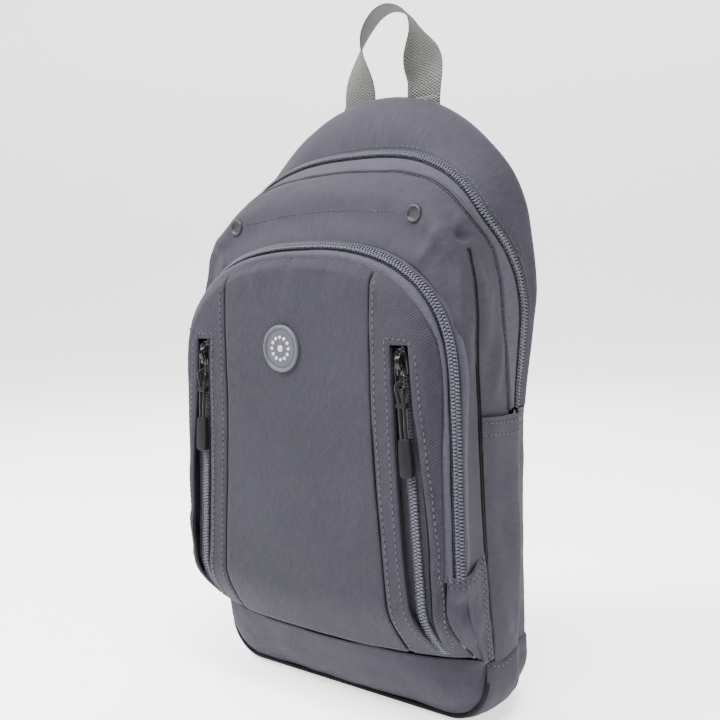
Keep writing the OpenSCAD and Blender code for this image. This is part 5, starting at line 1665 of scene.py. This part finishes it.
def inflate(verts, faces, cap, hold, frames=20, pressure=4.0, levels=1):
    """Blows a closed cloth up a little, with the points that hold says pinned, and smooths it by one subdivision."""
    mesh = bpy.data.meshes.new("slack")
    mesh.from_pydata((verts * MM).tolist(), [], [tuple(map(int, f)) for f in faces])
    mesh.validate()
    obj = bpy.data.objects.new("slack", mesh)
    bpy.context.scene.collection.objects.link(obj)
    rest = np.array(verts)
    pins = obj.vertex_groups.new(name="pins")
    pins.add([int(k) for k in np.nonzero(hold(rest))[0]], 1.0, "REPLACE")
    cloth_mod = obj.modifiers.new("cloth", "CLOTH")
    settings = cloth_mod.settings
    settings.quality = 5
    settings.mass = 0.2
    settings.tension_stiffness = 12
    settings.compression_stiffness = 12
    settings.bending_stiffness = 0.6
    settings.use_pressure = True
    settings.uniform_pressure_force = pressure
    settings.vertex_group_mass = "pins"
    settings.effector_weights.gravity = 0
    scene = bpy.context.scene
    for step in range(1, frames + 1):
        scene.frame_set(step)
    view = obj.evaluated_get(bpy.context.evaluated_depsgraph_get())
    moved = np.zeros(len(rest) * 3)
    view.data.vertices.foreach_get("co", moved)
    moved = moved.reshape(-1, 3) / MM - rest
    far = np.linalg.norm(moved, axis=1)
    moved = moved * np.minimum(1, cap / np.maximum(far, 1e-6))[:, None]
    obj.modifiers.remove(cloth_mod)
    mesh.vertices.foreach_set("co", ((rest + moved) * MM).ravel())
    scene.frame_set(1)
    if levels:
        obj.modifiers.new("fine", "SUBSURF").levels = levels
    view = obj.evaluated_get(bpy.context.evaluated_depsgraph_get())
    made = bpy.data.meshes.new_from_object(view)
    out = np.zeros(len(made.vertices) * 3)
    made.vertices.foreach_get("co", out)
    new_faces = [tuple(p.vertices) for p in made.polygons]
    bpy.data.objects.remove(obj)
    return out.reshape(-1, 3) / MM, new_faces


def build_strap():
    stations = [(0, 19.5), (6, 21), (16, 25), (26, 27.3), (60, 29.3), (110, 28.3), (160, 24.3), (192, 19.3), (204, 15.5)]
    inner = [(0, 32.9), (6, 32.9), (16, 34.8), (26, 36.3), (204, 36.3)]
    rows, cols = 66, 17
    s = np.linspace(0.5, 203.5, rows)
    u = np.linspace(-1, 1, cols)
    half = through(stations, s)
    x = half[:, None] * u[None]
    ss = np.repeat(s[:, None], cols, 1)
    round_end = 1 - np.clip((s - 196) / 8, 0, 1) ** 2 * 0.5
    lift = 6.3 * np.clip(1 - np.abs(u) ** 7, 0, 1)[None] ** 0.5 * (smooth(s / 10) * smooth((206 - s) / 10))[:, None] ** 0.5
    x = x * round_end[:, None]
    y0 = through(inner, s)[:, None]
    front, back = on_strap(x, y0 + 0.9 + lift, ss), on_strap(x, y0 + 0 * lift + 0.2, ss)
    count = rows * cols
    faces = []
    for r in range(rows - 1):
        for c in range(cols - 1):
            a, b, d, e = r * cols + c, r * cols + c + 1, (r + 1) * cols + c, (r + 1) * cols + c + 1
            faces += [(a, b, e, d), (count + a, count + d, count + e, count + b)]
    loop = ([c for c in range(cols)] + [r * cols + cols - 1 for r in range(1, rows)]
            + [(rows - 1) * cols + c for c in range(cols - 2, -1, -1)] + [r * cols for r in range(rows - 2, 0, -1)])
    for a, b in zip(loop, loop[1:] + loop[:1]):
        faces.append((a, b, count + b, count + a))
    verts = np.concatenate([front.reshape(-1, 3), back.reshape(-1, 3)])
    level = lambda p: p[:, 1] < 37.0
    verts, faces = inflate(verts, faces, 2.2, hold=level)
    pad = piece("strap_pad_cloth", verts, faces, "bag", "body_nylon", uv=verts[:, [0, 2]] * MM, replaces=["strap_pad"])
    fix_sides(pad)
    edge = np.concatenate([on_strap(x[:, 0], y0[:, 0] + 1.2, s), on_strap(x[-1, :], y0[-1, 0] + 1.2, 203.5),
                           on_strap(x[::-1, -1], y0[::-1, 0] + 1.2, s[::-1])])
    for _ in range(8):
        edge[1:-1] = (edge[:-2] + 2 * edge[1:-1] + edge[2:]) / 4
    heap = Heap()
    heap.tube(resample_line(edge, 1.5), 1.7, (0, 1, 0.02), 10)
    heap.piece("strap_pad_binding", "bag", "seam_cord")
    for c in (-0.72, 0.72):
        mid = np.linspace(8, 196, 190)
        sew(on_strap(through(stations, mid) * c, through(inner, mid) + 7.1, mid), (0, 1, 0), "bag", pitch=3.8, length=2.4, lift=0.3)

    # The webbing down the pad, through the ladder lock, to the plug.
    def ribbon(name, points, half, body, slot="webbing", **more):
        points = np.array(points, float)
        line = spline(points, 8)
        run = run_of(np.stack([line[:, 0] * 0, line[:, 0], line[:, 1]], 1))
        cols = 21
        across = np.linspace(-half, half, cols)
        tangent = unit(np.gradient(line, axis=0))
        ring = []
        for (y, s_), (ty, ts) in zip(line, tangent):
            ny, ns = ts, -ty
            top = [on_strap(a, y + ny * 0.7 * (1 - abs(a / half) ** 12), s_ + ns * 0.7 * (1 - abs(a / half) ** 12)) for a in across]
            low = [on_strap(a, y - ny * 0.7 * (1 - abs(a / half) ** 12), s_ - ns * 0.7 * (1 - abs(a / half) ** 12)) for a in across[::-1]]
            ring.append(top + low)
        ring = np.array(ring)
        around = np.concatenate([across, across[::-1]]) * MM
        uv = np.stack(np.meshgrid(around, run * MM), -1)
        obj = piece(name, ring, capped(len(ring), 2 * cols), body, slot, uv=uv, **more)
        fix_sides(obj)
        return obj
    ribbon("strap_ribbon", [(46.1, 114), (46.1, 150), (46.1, 190), (46.2, 225), (46.1, 245), (46.1, 259.5)], 12.5, "strap_end",
           replaces=["strap_webbing"])
    ribbon("anchor_ribbon", [(45.9, 312.6), (45.3, 315.5), (42, 319), (36, 322.5), (32.6, 327), (32.4, 334), (32.4, 341)], 12.3, "bag",
           replaces=["anchor_webbing"])
    anchor = np.array([on_strap(x_, y_, s_) for x_, y_, s_ in ((-22, 31.6, 12), (22, 31.6, 12))])
    patch = np.array([[on_strap(x_, 31.9 + 1.0 * math.sin(math.pi * (x_ + 23) / 46) * 0.4, s_) for x_ in np.linspace(-23, 23, 26)]
                      for s_ in np.linspace(-4, 13, 12)])
    patch = patch if np.mean(normals(patch)[..., 1]) > 0 else patch[:, ::-1]
    panel("strap_root", patch, "bag", "body_nylon", 1.6, replaces=["strap_anchor_top"])
    for row in (2.0, 5.0):
        line, way = inset(patch, row, "low")
        sew(line, way, "bag", pitch=3.6, length=2.3)
    foot_patch = np.array([[on_strap(x_, 31.3, s_) for x_ in np.linspace(-19, 19, 20)] for s_ in np.linspace(325, 345, 12)])
    foot_patch = foot_patch if np.mean(normals(foot_patch)[..., 1]) > 0 else foot_patch[:, ::-1]
    foot_patch = foot_patch + np.array([0, 2.4, 0])
    frame_line = np.array([on_strap(a, 33.3, b) for a, b in
                           [(-10, 329), (10, 329), (10, 340), (-10, 340), (-10, 329), (10, 340), (10, 329), (-10, 340)]])
    sew(resample_line(frame_line, 0.6), (0, 1, 0), "bag", pitch=2.6, length=1.9, hole_shade=False, lift=0.1)
    for node in ("ladder_lock", "buckle_socket", "buckle_plug", "strap_keeper"):
        carry(node, "black_acetal", 0.6)


def build_inside():
    carry("base_board", "board", 0.5)
    carry("back_foam", "foam", 0.0)
    def wall(name, x0, x1, y, z0, z1, body, slot, nodes, bulge=0.8, seed=1, face=-1):
        xs, zs = np.linspace(x1, x0, 34), np.linspace(z1, z0, 40)
        grid = np.array([[(x, y, z) for x in xs] for z in zs])
        if face > 0:
            grid = grid[:, ::-1]
        grid = grid + normals(grid) * (bulge * ripple(grid, 50, seed))[..., None]
        panel(name, grid, body, slot, 0.7, replaces=nodes)
    wall("sleeve_front", -74.5, 74.5, 14.4, 14.5, 183.5, "bag", "lining", ["divider_sleeve"], 0.25, 5)
    for side in (-1, 1):
        grid = np.array([[(side * 74.6, 15.2 + 7.2 * t, z) for t in np.linspace(0, 1, 6)] for z in np.linspace(183.5, 14.5, 30)])
        panel("sleeve_side_" + ("right" if side > 0 else "left"), grid, "bag", "lining", 0.6)
    wall("pocket_back", -97, 97, -33.6, 43, 262, "bag", "lining", ["main_front_panel"], 0.3, 6)
    grid = np.array([[(x, y, 39.4) for x in np.linspace(-88, 88, 30)]
                     for y in (-36.0, -42.0, -48.0)])
    grid[..., 1] = np.maximum(grid[..., 1], -50 + 19 * (np.abs(grid[..., 0]) / 100) ** 2.4)
    grid = grid[:, ::-1]
    panel("pocket_floor_cloth", grid, "bag", "lining", 0.8, replaces=["pocket_floor"])
    u = np.linspace(1, -1, 50)
    rows = []
    for t in np.linspace(1, 0, 60):
        x = u * 91
        top = door_top(x * 1.0) - 10
        z = 84 + (np.maximum(top, 120) - 84) * t
        rows.append(np.stack([x, np.full(50, -57.4), z], 1))
    grid = np.array(rows)
    grid = grid + normals(grid) * (0.4 * ripple(grid, 60, 7))[..., None]
    panel("door_lining_cloth", grid, "pocket_door", "lining", 0.6, replaces=["door_lining"])


add_camera()
add_stage()
build_dome()
build_main_zip()
build_front()
build_sides()
build_base()
build_door()
build_pocket_zip()
build_patches()
build_side_zips()
build_badge()
build_sliders()
build_handle()
build_back()
build_strap()
build_inside()
finish_sewing()
